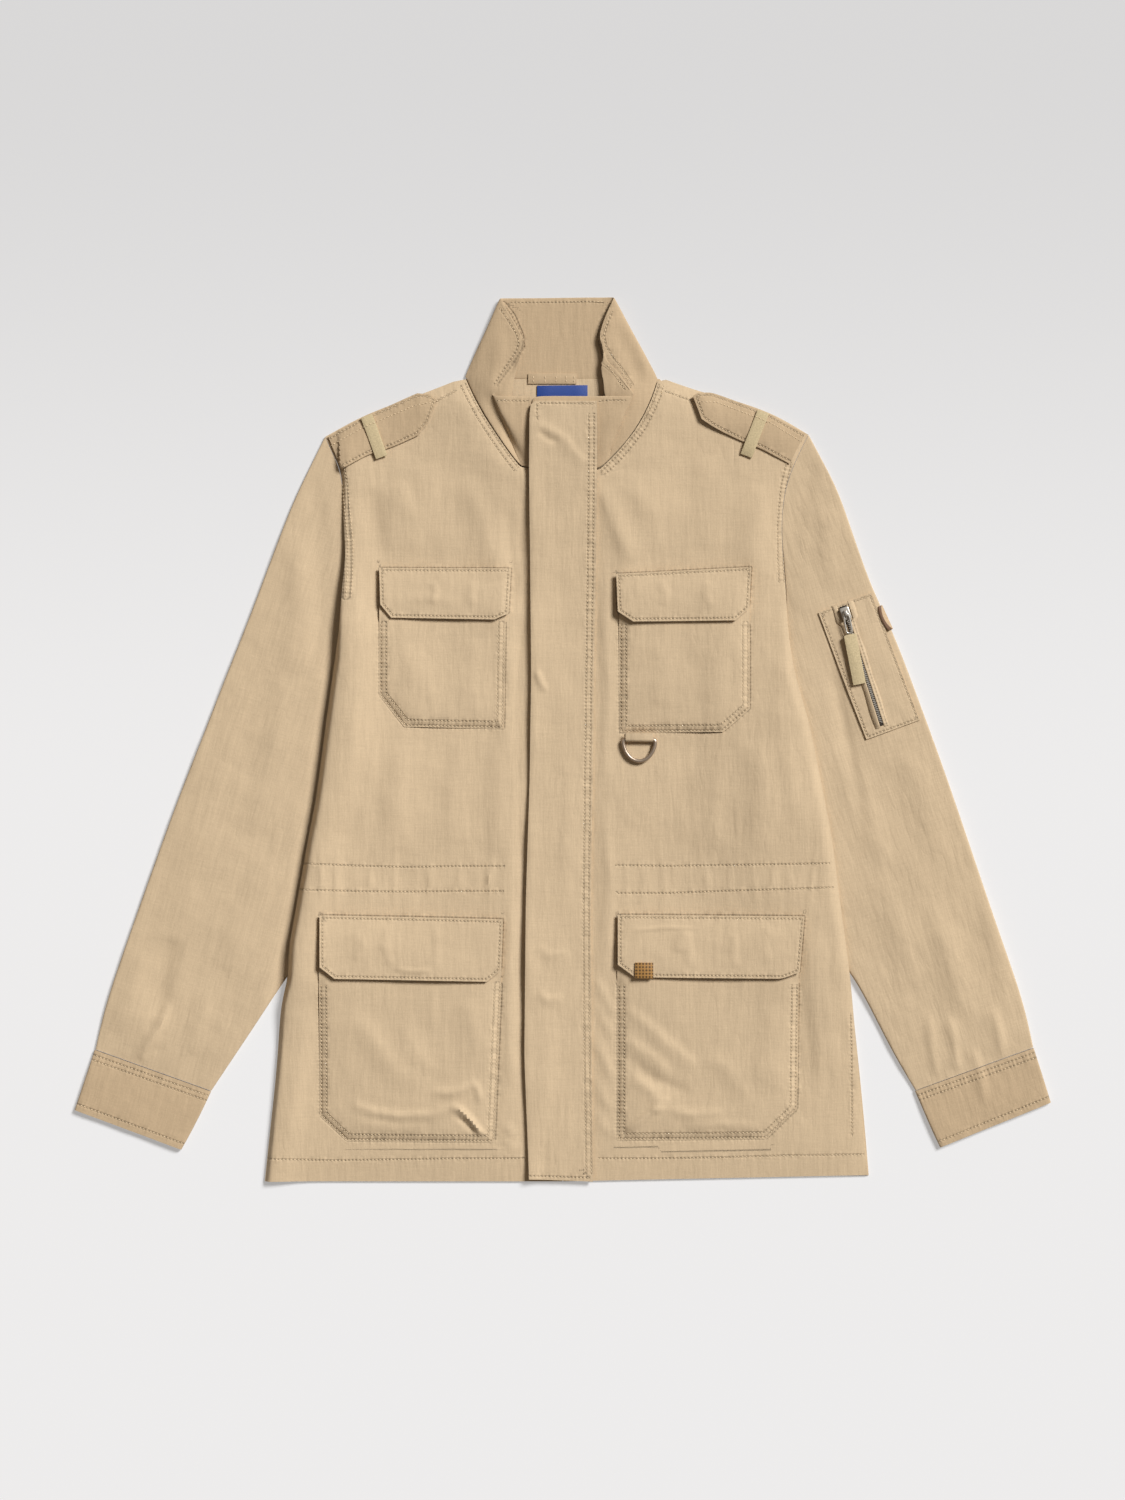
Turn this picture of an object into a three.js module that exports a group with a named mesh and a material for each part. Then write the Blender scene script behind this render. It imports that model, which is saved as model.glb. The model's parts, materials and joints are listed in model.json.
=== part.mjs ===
// A cotton safari jacket, laid out flat with its collar up, seen from above with the hem towards -Y.
// Millimetres, +Z up. The origin is on the surface, below the middle of the garment's outline.
// Right and left are the wearer's: the right sleeve lies towards -X.

import * as THREE from 'three'

// Cloth and seams
const CLOTH = 1.2
const DOUBLE_CLOTH = 1.6
const SEAM_GAP = 0.3
const PANEL_LOFT = 2.6
const LOFT_EDGE = 7
const NECK_LIFT = 5.2
const NECK_REACH = 38
// Heights at which the collar's right end lies below its left end in front, at the neck seam
const LAP_UNDER = 7.2
const LAP_OVER = 9.6
const REST_REACH = 11

// Fastener flap down the front
const PLACKET_WIDTH = 64
const PLACKET_LIFT = 1.2
const PLACKET_COLUMNS = [0, 0.06, 0.3, 0.6, 0.9, 1]
const PLACKET_STEP = 22

// Patch pockets and their flaps
const POCKET_LOFT = 2.6
const POCKET_EDGE = 16
const POCKET_COLUMNS = [0, 0.06, 0.2, 0.35, 0.5, 0.65, 0.8, 0.94, 1]
const POCKET_STEP = 24
const POCKET_REACH = 13
const FLAP_LOFT = 0.7
const FLAP_EDGE = 6
const FLAP_COLUMNS = [0, 0.05, 0.2, 0.35, 0.5, 0.65, 0.8, 0.95, 1]
const FLAP_STEP = 14

// Epaulettes and their loops
const EPAULETTE_LOFT = 1.4
const EPAULETTE_EDGE = 8
// The left epaulette's pointed end stands up from the panel
const LEFT_TIP = { rise: 3, from: 158, over: 28 }
const LOOP_REACH = 9

// D-ring and its webbing loop
const RING_WIRE = 3.6
const RING_WIDTH = 35
const RING_DROP = 23
const WEBBING_WIDTH = 26
const WEBBING_WALL = 1

// Zip on the sleeve pocket
const ZIP_TAPE_WIDTH = 7
const ZIP_LENGTH = 119
const ZIP_STEP = 15
const ZIP_REACH = 9
const SLEEVE_POCKET_COLUMNS = [0, 0.08, 0.3, 0.5, 0.7, 0.92, 1]
const SLEEVE_POCKET_STEP = 20
const SLEEVE_POCKET_LOFT = 1
const SLEEVE_POCKET_EDGE = 12
const SLIDER_SIZE = { wide: 8.5, long: 12, body: 2.6 }
const BRIDGE = { wide: 2.6, wall: 1, play: 2.4 }
const PULL_LINK = { long: 20, wire: 1.8, bend: 2, sides: 8 }
const PULL_TAB = { wide: 12, long: 48, thick: 1.6, corner: 2, shoulder: 3 }
const PULL_DROOP = { most: 0.12, step: 0.002 }

const COLOURS = {
  cloth: 0xd0b892,
  webbing: 0xc8b78c,
  label: 0x2f56a0,
  leather: 0xa5703a,
  badge: 0x7e5a3e,
  metal: 0x8d8a84,
  darkMetal: 0x5c5852,
}

const MATERIALS = {
  cloth: new THREE.MeshStandardMaterial({ color: COLOURS.cloth, roughness: 0.9, metalness: 0 }),
  webbing: new THREE.MeshStandardMaterial({ color: COLOURS.webbing, roughness: 0.85, metalness: 0 }),
  label: new THREE.MeshStandardMaterial({ color: COLOURS.label, roughness: 0.6, metalness: 0 }),
  leather: new THREE.MeshStandardMaterial({ color: COLOURS.leather, roughness: 0.6, metalness: 0 }),
  badge: new THREE.MeshStandardMaterial({ color: COLOURS.badge, roughness: 0.7, metalness: 0 }),
  metal: new THREE.MeshStandardMaterial({ color: COLOURS.metal, roughness: 0.35, metalness: 0.9 }),
  darkMetal: new THREE.MeshStandardMaterial({ color: COLOURS.darkMetal, roughness: 0.45, metalness: 0.8 }),
}

// Armhole seams, from the shoulder point down to the underarm
const RIGHT_ARMHOLE = [
  { x: -225.9, y: 287.4 },
  { x: -218.3, y: 270.3 },
  { x: -210.7, y: 254.6 },
  { x: -206.9, y: 218.0 },
  { x: -201.7, y: 184.8 },
  { x: -205.5, y: 147.7 },
  { x: -207.4, y: 120.2 },
  { x: -207.9, y: 102.1 },
  { x: -202.2, y: 83.1 },
  { x: -190.8, y: 67.9 },
]
const LEFT_ARMHOLE = [
  { x: 233.5, y: 289.3 },
  { x: 225.3, y: 273.1 },
  { x: 218.7, y: 258.9 },
  { x: 210.6, y: 236.1 },
  { x: 207.3, y: 204.7 },
  { x: 209.7, y: 168.6 },
  { x: 212.0, y: 142.0 },
  { x: 213.6, y: 103.1 },
  { x: 207.3, y: 84.1 },
  { x: 195.9, y: 67.9 },
]

// Sleeve rings from the armhole to the cuff seam: the outer fold, the inner fold and the air inside
const RIGHT_SLEEVE = [
  { outerX: -225.9, outerY: 287.4, innerX: -190.8, innerY: 67.9, air: 1.0 },
  { outerX: -253.5, outerY: 231.0, innerX: -184.5, innerY: 37.0, air: 1.8 },
  { outerX: -275.0, outerY: 176.0, innerX: -179.4, innerY: -2.0, air: 2.6 },
  { outerX: -297.5, outerY: 116.0, innerX: -180.5, innerY: -42.0, air: 3.0 },
  { outerX: -320.0, outerY: 59.4, innerX: -188.5, innerY: -84.0, air: 3.0 },
  { outerX: -342.8, outerY: 0.5, innerX: -205.0, innerY: -130.0, air: 3.0 },
  { outerX: -365.6, outerY: -57.5, innerX: -232.0, innerY: -182.0, air: 3.0 },
  { outerX: -389.0, outerY: -122.0, innerX: -267.7, innerY: -234.2, air: 3.0 },
  { outerX: -412.0, outerY: -187.0, innerX: -289.5, innerY: -267.5, air: 3.0 },
  { outerX: -433.0, outerY: -249.0, innerX: -315.5, innerY: -306.5, air: 2.8 },
  { outerX: -443.7, outerY: -294.0, innerX: -333.5, innerY: -333.4, air: 1.6 },
]
const LEFT_SLEEVE = [
  { outerX: 233.5, outerY: 289.3, innerX: 195.9, innerY: 67.9, air: 1.0 },
  { outerX: 258.6, outerY: 242.0, innerX: 190.0, innerY: 37.0, air: 1.8 },
  { outerX: 275.5, outerY: 195.0, innerX: 185.4, innerY: -2.0, air: 2.6 },
  { outerX: 293.0, outerY: 146.0, innerX: 186.5, innerY: -42.0, air: 3.0 },
  { outerX: 314.0, outerY: 100.0, innerX: 194.5, innerY: -84.0, air: 3.0 },
  { outerX: 337.5, outerY: 38.5, innerX: 213.0, innerY: -130.0, air: 3.0 },
  { outerX: 363.5, outerY: -33.0, innerX: 242.0, innerY: -179.0, air: 3.0 },
  { outerX: 389.0, outerY: -108.0, innerX: 273.4, innerY: -222.8, air: 3.0 },
  { outerX: 413.0, outerY: -179.0, innerX: 290.5, innerY: -252.5, air: 3.0 },
  { outerX: 436.0, outerY: -246.0, innerX: 313.0, innerY: -296.5, air: 2.8 },
  { outerX: 446.7, outerY: -292.1, innerX: 334.6, innerY: -333.0, air: 1.6 },
]
// How much of the armhole's curve each of the first rings still has
const ARMHOLE_FADE = [1, 1, 0.6, 0.25]

// Cuff rings from the sleeve seam to the open end
const RIGHT_CUFF = [
  { outerX: -444.6, outerY: -294.6, innerX: -333.8, innerY: -334.2, air: 1.4 },
  { outerX: -449.6, outerY: -310.0, innerX: -341.0, innerY: -350.0, air: 2.4 },
  { outerX: -457.6, outerY: -334.0, innerX: -353.5, innerY: -374.5, air: 2.6 },
  { outerX: -463.5, outerY: -351.5, innerX: -361.9, innerY: -389.3, air: 2.2 },
]
const LEFT_CUFF = [
  { outerX: 447.2, outerY: -292.8, innerX: 334.2, innerY: -333.8, air: 1.4 },
  { outerX: 452.0, outerY: -308.0, innerX: 341.0, innerY: -349.5, air: 2.4 },
  { outerX: 459.0, outerY: -330.0, innerX: 351.0, innerY: -373.0, air: 2.6 },
  { outerX: 463.4, outerY: -344.4, innerX: 358.0, innerY: -387.1, air: 2.2 },
]
const CUFF_COLUMNS = 8

// Front panels, row by row from the hem to the neck. The outside end of a row lies on the side,
// the armhole or the shoulder, and the inside end on the front opening or the neck seam.
const FRONT_EDGE = 0.4
const FRONT_STEP = 27
const FRONT_REACH = 15
// How far from a panel's edge its folds reach their full height
const FOLD_EDGE = 14
const RIGHT_FRONT = [
  { sideX: -282.9, sideY: -419.4, frontX: -FRONT_EDGE, frontY: -419.5 },
  { sideX: -280.0, sideY: -392.0, frontX: -FRONT_EDGE, frontY: -392.0 },
  { sideX: -276.7, sideY: -360.0, frontX: -FRONT_EDGE, frontY: -360.0 },
  { sideX: -272.5, sideY: -323.5, frontX: -FRONT_EDGE, frontY: -323.5 },
  { sideX: -269.5, sideY: -285.0, frontX: -FRONT_EDGE, frontY: -285.0 },
  { sideX: -267.7, sideY: -252.2, frontX: -FRONT_EDGE, frontY: -252.2 },
  { sideX: -260.1, sideY: -224.7, frontX: -FRONT_EDGE, frontY: -222.0 },
  { sideX: -246.3, sideY: -147.7, frontX: -FRONT_EDGE, frontY: -147.7 },
  { sideX: -238.0, sideY: -100.0, frontX: -FRONT_EDGE, frontY: -100.0 },
  { sideX: -229.7, sideY: -57.5, frontX: -FRONT_EDGE, frontY: -57.5 },
  { sideX: -220.6, sideY: 10.9, frontX: -FRONT_EDGE, frontY: 10.9 },
  { sideX: -211.7, sideY: 76.5, frontX: -FRONT_EDGE, frontY: 72.0 },
  { armhole: 7, frontX: -FRONT_EDGE, frontY: 98.0 },
  { armhole: 6, frontX: -FRONT_EDGE, frontY: 118.0 },
  { armhole: 5, frontX: -FRONT_EDGE, frontY: 147.7 },
  { armhole: 4, frontX: -FRONT_EDGE, frontY: 184.8 },
  { armhole: 3, frontX: -FRONT_EDGE, frontY: 218.0 },
  { armhole: 2, frontX: -FRONT_EDGE, frontY: 248.4 },
  { armhole: 1, frontX: -41.0, frontY: 258.9 },
  { armhole: 0, frontX: -52.0, frontY: 273.0 },
  { sideX: -208.0, sideY: 297.2, frontX: -61.6, frontY: 286.9 },
  { sideX: -189.9, sideY: 306.9, frontX: -72.0, frontY: 302.6 },
  { sideX: -164.7, sideY: 317.1, frontX: -78.8, frontY: 314.0 },
  { sideX: -137.6, sideY: 326.3, frontX: -87.0, frontY: 330.0 },
  { sideX: -104.0, sideY: 339.6, frontX: -92.0, frontY: 342.0 },
]
const LEFT_FRONT = [
  { sideX: 289.5, sideY: -413.5, frontX: FRONT_EDGE, frontY: -419.5 },
  { sideX: 287.0, sideY: -386.0, frontX: FRONT_EDGE, frontY: -392.0 },
  { sideX: 284.0, sideY: -353.0, frontX: FRONT_EDGE, frontY: -357.0 },
  { sideX: 281.0, sideY: -318.0, frontX: FRONT_EDGE, frontY: -321.0 },
  { sideX: 277.5, sideY: -280.0, frontX: FRONT_EDGE, frontY: -282.0 },
  { sideX: 272.2, sideY: -222.8, frontX: FRONT_EDGE, frontY: -222.8 },
  { sideX: 262.4, sideY: -150.6, frontX: FRONT_EDGE, frontY: -150.6 },
  { sideX: 254.8, sideY: -90.7, frontX: FRONT_EDGE, frontY: -90.7 },
  { sideX: 245.3, sideY: -42.3, frontX: FRONT_EDGE, frontY: -42.3 },
  { sideX: 233.4, sideY: 16.6, frontX: FRONT_EDGE, frontY: 16.6 },
  { sideX: 218.7, sideY: 67.0, frontX: FRONT_EDGE, frontY: 67.0 },
  { armhole: 7, frontX: FRONT_EDGE, frontY: 101.0 },
  { armhole: 6, frontX: FRONT_EDGE, frontY: 138.0 },
  { armhole: 5, frontX: FRONT_EDGE, frontY: 168.6 },
  { armhole: 4, frontX: FRONT_EDGE, frontY: 204.7 },
  { armhole: 3, frontX: FRONT_EDGE, frontY: 232.0 },
  { armhole: 2, frontX: FRONT_EDGE, frontY: 248.4 },
  { armhole: 1, frontX: 35.3, frontY: 256.0 },
  { armhole: 0, frontX: 48.0, frontY: 268.0 },
  { sideX: 215.0, sideY: 300.3, frontX: 60.0, frontY: 281.7 },
  { sideX: 197.4, sideY: 309.8, frontX: 72.0, frontY: 297.8 },
  { sideX: 168.3, sideY: 320.6, frontX: 80.9, frontY: 314.9 },
  { sideX: 132.2, sideY: 329.2, frontX: 86.0, frontY: 327.0 },
  { sideX: 98.0, sideY: 341.5, frontX: 90.0, frontY: 340.0 },
]
// Fractions across a front row, close together at the rolled side
const FRONT_COLUMNS = [0, 0.012, 0.05, 0.13, 0.22, 0.31, 0.4, 0.5, 0.6, 0.7, 0.8, 0.9, 1]
const BACK_STEP = 34
const BACK_REACH = 26
const BACK_COLUMNS = [
  0, 0.035, 0.07, 0.105, 0.14, 0.18, 0.24, 0.33, 0.5, 0.67, 0.76, 0.82, 0.86, 0.895, 0.93, 0.965, 1,
]

// Collar, section by section from the right end, which lies below, round the back of the neck to the
// left end, which laps over it. lift is the height of the middle of the cloth at the neck seam, or null
// where it follows the front panel's edge. bow is how far the middle of the section stands out, and a
// section that turns back on itself bends at via.
const COLLAR = [
  { neckX: 4.0, neckY: 249.8, lift: LAP_UNDER, topX: 4.0, topY: 324.4, topZ: 10.4, bow: 0 },
  { neckX: -28.0, neckY: 256.6, lift: null, topX: -30.0, topY: 324.8, topZ: 10.6, bow: 0.3 },
  { neckX: -36.0, neckY: 258.6, lift: null, topX: -58.0, topY: 325.2, topZ: 12.4, bow: 0.8 },
  { neckX: -38.0, neckY: 259.0, lift: null, topX: -66.0, topY: 325.6, topZ: 12.2, bow: 0.4 },
  { neckX: -39.6, neckY: 259.6, lift: null, topX: -67.4, topY: 327.2, topZ: 9.6, bow: -1.4 },
  { neckX: -44.6, neckY: 264.6, lift: null, topX: -61.4, topY: 333.6, topZ: 10.4, bow: -2.0 },
  { neckX: -52.0, neckY: 274.4, lift: null, topX: -48.6, topY: 353.0, topZ: 12.6, bow: -3.4 },
  { neckX: -60.2, neckY: 286.2, lift: null, topX: -39.6, topY: 366.0, topZ: 13.8, bow: -1.8 },
  { neckX: -66.8, neckY: 296.2, lift: null, topX: -37.2, topY: 376.4, topZ: 14.2, bow: 0 },
  { neckX: -73.2, neckY: 306.2, lift: null, topX: -39.8, topY: 385.4, topZ: 13.6, bow: 1.4 },
  { neckX: -79.6, neckY: 317.4, lift: null, topX: -47.4, topY: 398.4, topZ: 11.8, bow: 2 },
  { neckX: -86.3, neckY: 330.2, lift: null, topX: -55.4, topY: 412.0, topZ: 9.4, bow: 2 },
  { neckX: -91.3, neckY: 342.2, lift: null, topX: -58.6, topY: 417.8, topZ: 8.0, bow: 1.2 },
  { neckX: -93.0, neckY: 344.2, lift: 2.9, topX: -59.9, topY: 418.6, topZ: 4.6, bow: 0.3 },
  { neckX: -90.6, neckY: 344.0, lift: 0.8, topX: -57.6, topY: 419.1, topZ: 1.6, bow: 0 },
  { neckX: -76.0, neckY: 343.2, lift: 0.8, topX: -48.0, topY: 419.2, topZ: 0.9, bow: 0 },
  { neckX: -40.0, neckY: 342.2, lift: 0.8, topX: -26.0, topY: 419.3, topZ: 0.8, bow: 0 },
  { neckX: 0.0, neckY: 341.8, lift: 0.8, topX: -4.0, topY: 419.6, topZ: 0.8, bow: 0 },
  { neckX: 40.0, neckY: 341.8, lift: 0.8, topX: 18.0, topY: 419.9, topZ: 0.8, bow: 0 },
  { neckX: 76.0, neckY: 342.0, lift: 0.8, topX: 38.0, topY: 420.0, topZ: 0.9, bow: 0 },
  { neckX: 87.6, neckY: 342.4, lift: 0.8, topX: 46.6, topY: 420.0, topZ: 1.6, bow: 0 },
  { neckX: 90.4, neckY: 342.0, lift: 2.9, topX: 48.9, topY: 419.6, topZ: 4.6, bow: 0.3 },
  { neckX: 89.3, neckY: 340.2, lift: null, topX: 47.8, topY: 418.0, topZ: 8.0, bow: 1.2 },
  { neckX: 86.0, neckY: 328.8, lift: null, topX: 42.8, topY: 407.6, topZ: 9.4, bow: 2 },
  { neckX: 81.4, neckY: 317.6, lift: null, topX: 37.4, topY: 394.4, topZ: 11.6, bow: 2 },
  { neckX: 75.4, neckY: 305.4, lift: null, topX: 34.4, topY: 382.6, topZ: 12.8, bow: 1.2 },
  { neckX: 68.8, neckY: 294.6, lift: null, topX: 36.6, topY: 371.0, topZ: 13.6, bow: 0 },
  {
    neckX: 61.6, neckY: 284.6, lift: null, topX: 46.4, topY: 357.4, topZ: 14.6, bow: -0.8,
    via: { x: 35.6, y: 355.0, z: 11.4 },
  },
  {
    neckX: 54.4, neckY: 276.2, lift: null, topX: 55.6, topY: 344.4, topZ: 14.6, bow: -1.2,
    via: { x: 36.4, y: 341.0, z: 10.4 },
  },
  {
    neckX: 46.8, neckY: 268.4, lift: null, topX: 63.0, topY: 333.4, topZ: 14.2, bow: -1.6,
    via: { x: 38.6, y: 331.4, z: 9.6 },
  },
  { neckX: 41.0, neckY: 262.8, lift: null, topX: 67.6, topY: 327.6, topZ: 13.4, bow: -1.6 },
  { neckX: 37.6, neckY: 259.4, lift: null, topX: 66.4, topY: 325.2, topZ: 13.4, bow: 0.4 },
  { neckX: 33.0, neckY: 256.6, lift: null, topX: 56.0, topY: 325.0, topZ: 13.6, bow: 0.6 },
  { neckX: 14.0, neckY: 252.6, lift: null, topX: 24.0, topY: 325.2, topZ: 13.2, bow: 0.3 },
  { neckX: -2.0, neckY: 250.0, lift: LAP_OVER, topX: -3.0, topY: 325.2, topZ: 13.0, bow: 0 },
  { neckX: -29.5, neckY: 256.6, lift: LAP_OVER, topX: -29.5, topY: 325.2, topZ: 13.2, bow: 0 },
]
const COLLAR_ROWS = 7
// How far up a section its bend lies
const COLLAR_BEND = 4 / 6

// Largest folds: a ridge, or with a negative height a trough, along a line on a panel
const BODY_FOLDS = [
  { fromX: 40, fromY: 236, toX: 74, toY: 120, height: 3.2, width: 15 },
  { fromX: 92, fromY: 250, toX: 120, toY: 190, height: 2.0, width: 16 },
  { fromX: 170, fromY: 262, toX: 176, toY: 120, height: 1.8, width: 18 },
  { fromX: -58, fromY: 240, toX: -46, toY: 60, height: 2.6, width: 15 },
  { fromX: -150, fromY: 270, toX: -165, toY: 150, height: 2.0, width: 17 },
  { fromX: -188, fromY: 120, toX: -196, toY: -60, height: 2.4, width: 15 },
  { fromX: -44, fromY: -60, toX: -50, toY: -330, height: 2.4, width: 13 },
  { fromX: 56, fromY: -30, toX: 50, toY: -130, height: 2.0, width: 14 },
  { fromX: 196, fromY: 40, toX: 214, toY: -110, height: 2.2, width: 16 },
  { fromX: -120, fromY: -10, toX: -126, toY: -120, height: 1.6, width: 20 },
  { fromX: 140, fromY: -20, toX: 132, toY: -110, height: 1.6, width: 20 },
  { fromX: -215, fromY: -118, toX: -60, toY: -121, height: -1.2, width: 8 },
  { fromX: 60, fromY: -119, toX: 240, toY: -118, height: -1.2, width: 8 },
]
const SLEEVE_FOLDS = [
  { fromX: -230, fromY: 240, toX: -232, toY: 90, height: -1.4, width: 12 },
  { fromX: 232, fromY: 262, toX: 219, toY: 190, height: -1.2, width: 10 },
  { fromX: 254, fromY: 75, toX: 288, toY: -86, height: -1.6, width: 12 },
  { fromX: 300, fromY: -90, toX: 372, toY: -230, height: 1.5, width: 16 },
  { fromX: 366, fromY: -226, toX: 392, toY: -296, height: 1.7, width: 12 },
  { fromX: 398, fromY: -238, toX: 416, toY: -292, height: 1.5, width: 11 },
  { fromX: -300, fromY: -20, toX: -372, toY: -210, height: 1.4, width: 18 },
  { fromX: -384, fromY: -232, toX: -404, toY: -300, height: 1.6, width: 12 },
  { fromX: -352, fromY: -256, toX: -372, toY: -312, height: 1.4, width: 11 },
]

// Flat pieces that lie on the panels, row by row from the top edge down
const CHEST_POCKETS = {
  right: [
    { leftX: -173.8, leftY: 158.0, rightX: -54.2, rightY: 158.0 },
    { leftX: -173.8, leftY: 120.0, rightX: -54.2, rightY: 120.0 },
    { leftX: -173.8, leftY: 80.0, rightX: -54.6, rightY: 80.0 },
    { leftX: -173.8, leftY: 42.0, rightX: -55.0, rightY: 42.0 },
    { leftX: -162.0, leftY: 26.0, rightX: -55.4, rightY: 26.0 },
    { leftX: -150.3, leftY: 12.0, rightX: -55.9, rightY: 10.0 },
  ],
  left: [
    { leftX: 53.4, leftY: 154.0, rightX: 177.0, rightY: 160.0 },
    { leftX: 53.4, leftY: 118.0, rightX: 177.0, rightY: 118.0 },
    { leftX: 53.4, leftY: 75.0, rightX: 177.0, rightY: 75.0 },
    { leftX: 53.4, leftY: 30.0, rightX: 177.0, rightY: 29.0 },
    { leftX: 53.4, leftY: 16.0, rightX: 164.5, rightY: 17.5 },
    { leftX: 53.4, leftY: 6.2, rightX: 151.6, rightY: 7.1 },
  ],
}
const CHEST_FLAPS = {
  right: [
    { leftX: -173.9, leftY: 162.5, rightX: -49.2, rightY: 162.0 },
    { leftX: -172.7, leftY: 127.8, rightX: -51.5, rightY: 119.2 },
    { leftX: -162.4, leftY: 115.2, rightX: -64.4, rightY: 113.5 },
  ],
  left: [
    { leftX: 50.5, leftY: 156.8, rightX: 178.5, rightY: 163.3 },
    { leftX: 52.1, leftY: 121.1, rightX: 176.3, rightY: 124.0 },
    { leftX: 66.6, leftY: 111.6, rightX: 163.3, rightY: 112.6 },
  ],
}
const LOWER_POCKETS = {
  right: [
    { leftX: -230.7, leftY: -172.0, rightX: -57.8, rightY: -174.0 },
    { leftX: -230.7, leftY: -215.0, rightX: -58.0, rightY: -215.0 },
    { leftX: -230.7, leftY: -260.0, rightX: -60.0, rightY: -260.0 },
    { leftX: -230.7, leftY: -310.0, rightX: -62.0, rightY: -310.0 },
    { leftX: -230.7, leftY: -356.7, rightX: -63.8, rightY: -356.7 },
    { leftX: -218.0, leftY: -369.0, rightX: -64.2, rightY: -369.5 },
    { leftX: -205.0, leftY: -381.1, rightX: -64.6, rightY: -382.4 },
  ],
  left: [
    { leftX: 51.5, leftY: -172.0, rightX: 223.5, rightY: -172.0 },
    { leftX: 51.5, leftY: -215.0, rightX: 223.4, rightY: -215.0 },
    { leftX: 51.5, leftY: -260.0, rightX: 223.3, rightY: -260.0 },
    { leftX: 51.5, leftY: -305.0, rightX: 223.2, rightY: -305.0 },
    { leftX: 51.5, leftY: -350.8, rightX: 222.2, rightY: -350.8 },
    { leftX: 51.5, leftY: -366.0, rightX: 208.0, rightY: -364.0 },
    { leftX: 51.5, leftY: -380.5, rightX: 193.0, rightY: -379.1 },
  ],
}
const LOWER_FLAPS = {
  right: [
    { leftX: -229.7, leftY: -166.3, rightX: -56.8, rightY: -170.5 },
    { leftX: -229.7, leftY: -192.0, rightX: -57.2, rightY: -195.0 },
    { leftX: -229.7, leftY: -215.2, rightX: -58.8, rightY: -219.0 },
    { leftX: -215.8, leftY: -226.3, rightX: -72.0, rightY: -229.4 },
  ],
  left: [
    { leftX: 52.1, leftY: -166.3, rightX: 228.7, rightY: -167.5 },
    { leftX: 52.1, leftY: -190.0, rightX: 226.5, rightY: -192.0 },
    { leftX: 52.1, leftY: -213.3, rightX: 224.0, rightY: -220.0 },
    { leftX: 68.4, leftY: -225.2, rightX: 208.0, rightY: -226.4 },
  ],
}
const PLACKET = [
  { leftX: -32.0, leftY: -417.0, rightX: 28.5, rightY: -419.3 },
  { leftX: -36.5, leftY: -300.0, rightX: 27.5, rightY: -300.0 },
  { leftX: -35.0, leftY: -150.0, rightX: 26.5, rightY: -150.0 },
  { leftX: -31.5, leftY: -40.0, rightX: 28.5, rightY: -40.0 },
  { leftX: -30.0, leftY: 60.0, rightX: 29.5, rightY: 60.0 },
  { leftX: -31.0, leftY: 170.0, rightX: 31.5, rightY: 170.0 },
  { leftX: -32.0, leftY: 255.0, rightX: 32.4, rightY: 255.0 },
  { leftX: -31.5, leftY: 311.0, rightX: 32.4, rightY: 311.0 },
  { leftX: -30.0, leftY: 317.0, rightX: 32.4, rightY: 317.0 },
  { leftX: -26.0, leftY: 320.4, rightX: 32.4, rightY: 320.4 },
]
const EPAULETTES = {
  right: [
    { leftX: -222.5, leftY: 287.5, rightX: -210.0, rightY: 256.0 },
    { leftX: -189.0, leftY: 306.2, rightX: -183.2, rightY: 270.6 },
    { leftX: -164.2, leftY: 316.6, rightX: -161.0, rightY: 277.4 },
    { leftX: -150.0, leftY: 323.0, rightX: -137.3, rightY: 288.3 },
    { leftX: -138.0, leftY: 328.2, rightX: -126.9, rightY: 300.7 },
    { leftX: -125.6, leftY: 327.0, rightX: -119.6, rightY: 322.0 },
  ],
  left: [
    { leftX: 215.2, leftY: 261.5, rightX: 229.5, rightY: 290.0 },
    { leftX: 187.1, leftY: 276.4, rightX: 195.5, rightY: 309.2 },
    { leftX: 171.8, leftY: 281.9, rightX: 181.0, rightY: 314.6 },
    { leftX: 158.3, leftY: 288.3, rightX: 166.0, rightY: 320.2 },
    { leftX: 143.6, leftY: 295.4, rightX: 151.5, rightY: 325.4 },
    { leftX: 131.5, leftY: 303.5, rightX: 141.0, rightY: 328.8 },
    { leftX: 123.2, leftY: 325.4, rightX: 128.0, rightY: 328.4 },
  ],
}
const EPAULETTE_LOOPS = {
  right: [
    { leftX: -191.6, leftY: 304.6, rightX: -180.8, rightY: 308.6 },
    { leftX: -186.6, leftY: 291.6, rightX: -175.8, rightY: 295.6 },
    { leftX: -181.8, leftY: 278.4, rightX: -171.0, rightY: 282.4 },
    { leftX: -177.0, leftY: 265.4, rightX: -166.2, rightY: 269.4 },
  ],
  left: [
    { leftX: 184.6, leftY: 312.6, rightX: 195.4, rightY: 308.6 },
    { leftX: 179.2, leftY: 298.7, rightX: 190.0, rightY: 294.7 },
    { leftX: 173.8, leftY: 284.7, rightX: 184.6, rightY: 280.7 },
    { leftX: 168.4, leftY: 270.7, rightX: 179.2, rightY: 266.7 },
  ],
}
const SLEEVE_POCKET = [
  { leftX: 242.4, leftY: 120.2, rightX: 292.5, rightY: 139.0 },
  { leftX: 256.5, leftY: 82.0, rightX: 307.5, rightY: 100.0 },
  { leftX: 271.5, leftY: 42.0, rightX: 322.5, rightY: 59.5 },
  { leftX: 287.9, leftY: 0.0, rightX: 338.5, rightY: 18.5 },
]
const ZIP_TOP = { x: 265.5, y: 126.5 }
const ZIP_HEADING = { x: 0.309, y: -0.951 }
const ZIP_ACROSS = { x: 0.951, y: 0.309 }
const ZIP_START = 1.5
const PULL_HEADING = { x: 0.195, y: -0.981 }
const FLAP_TAB = [
  { leftX: 68.4, leftY: -211.1, rightX: 85.6, rightY: -211.3 },
  { leftX: 68.4, leftY: -226.0, rightX: 85.6, rightY: -226.2 },
]
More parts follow.
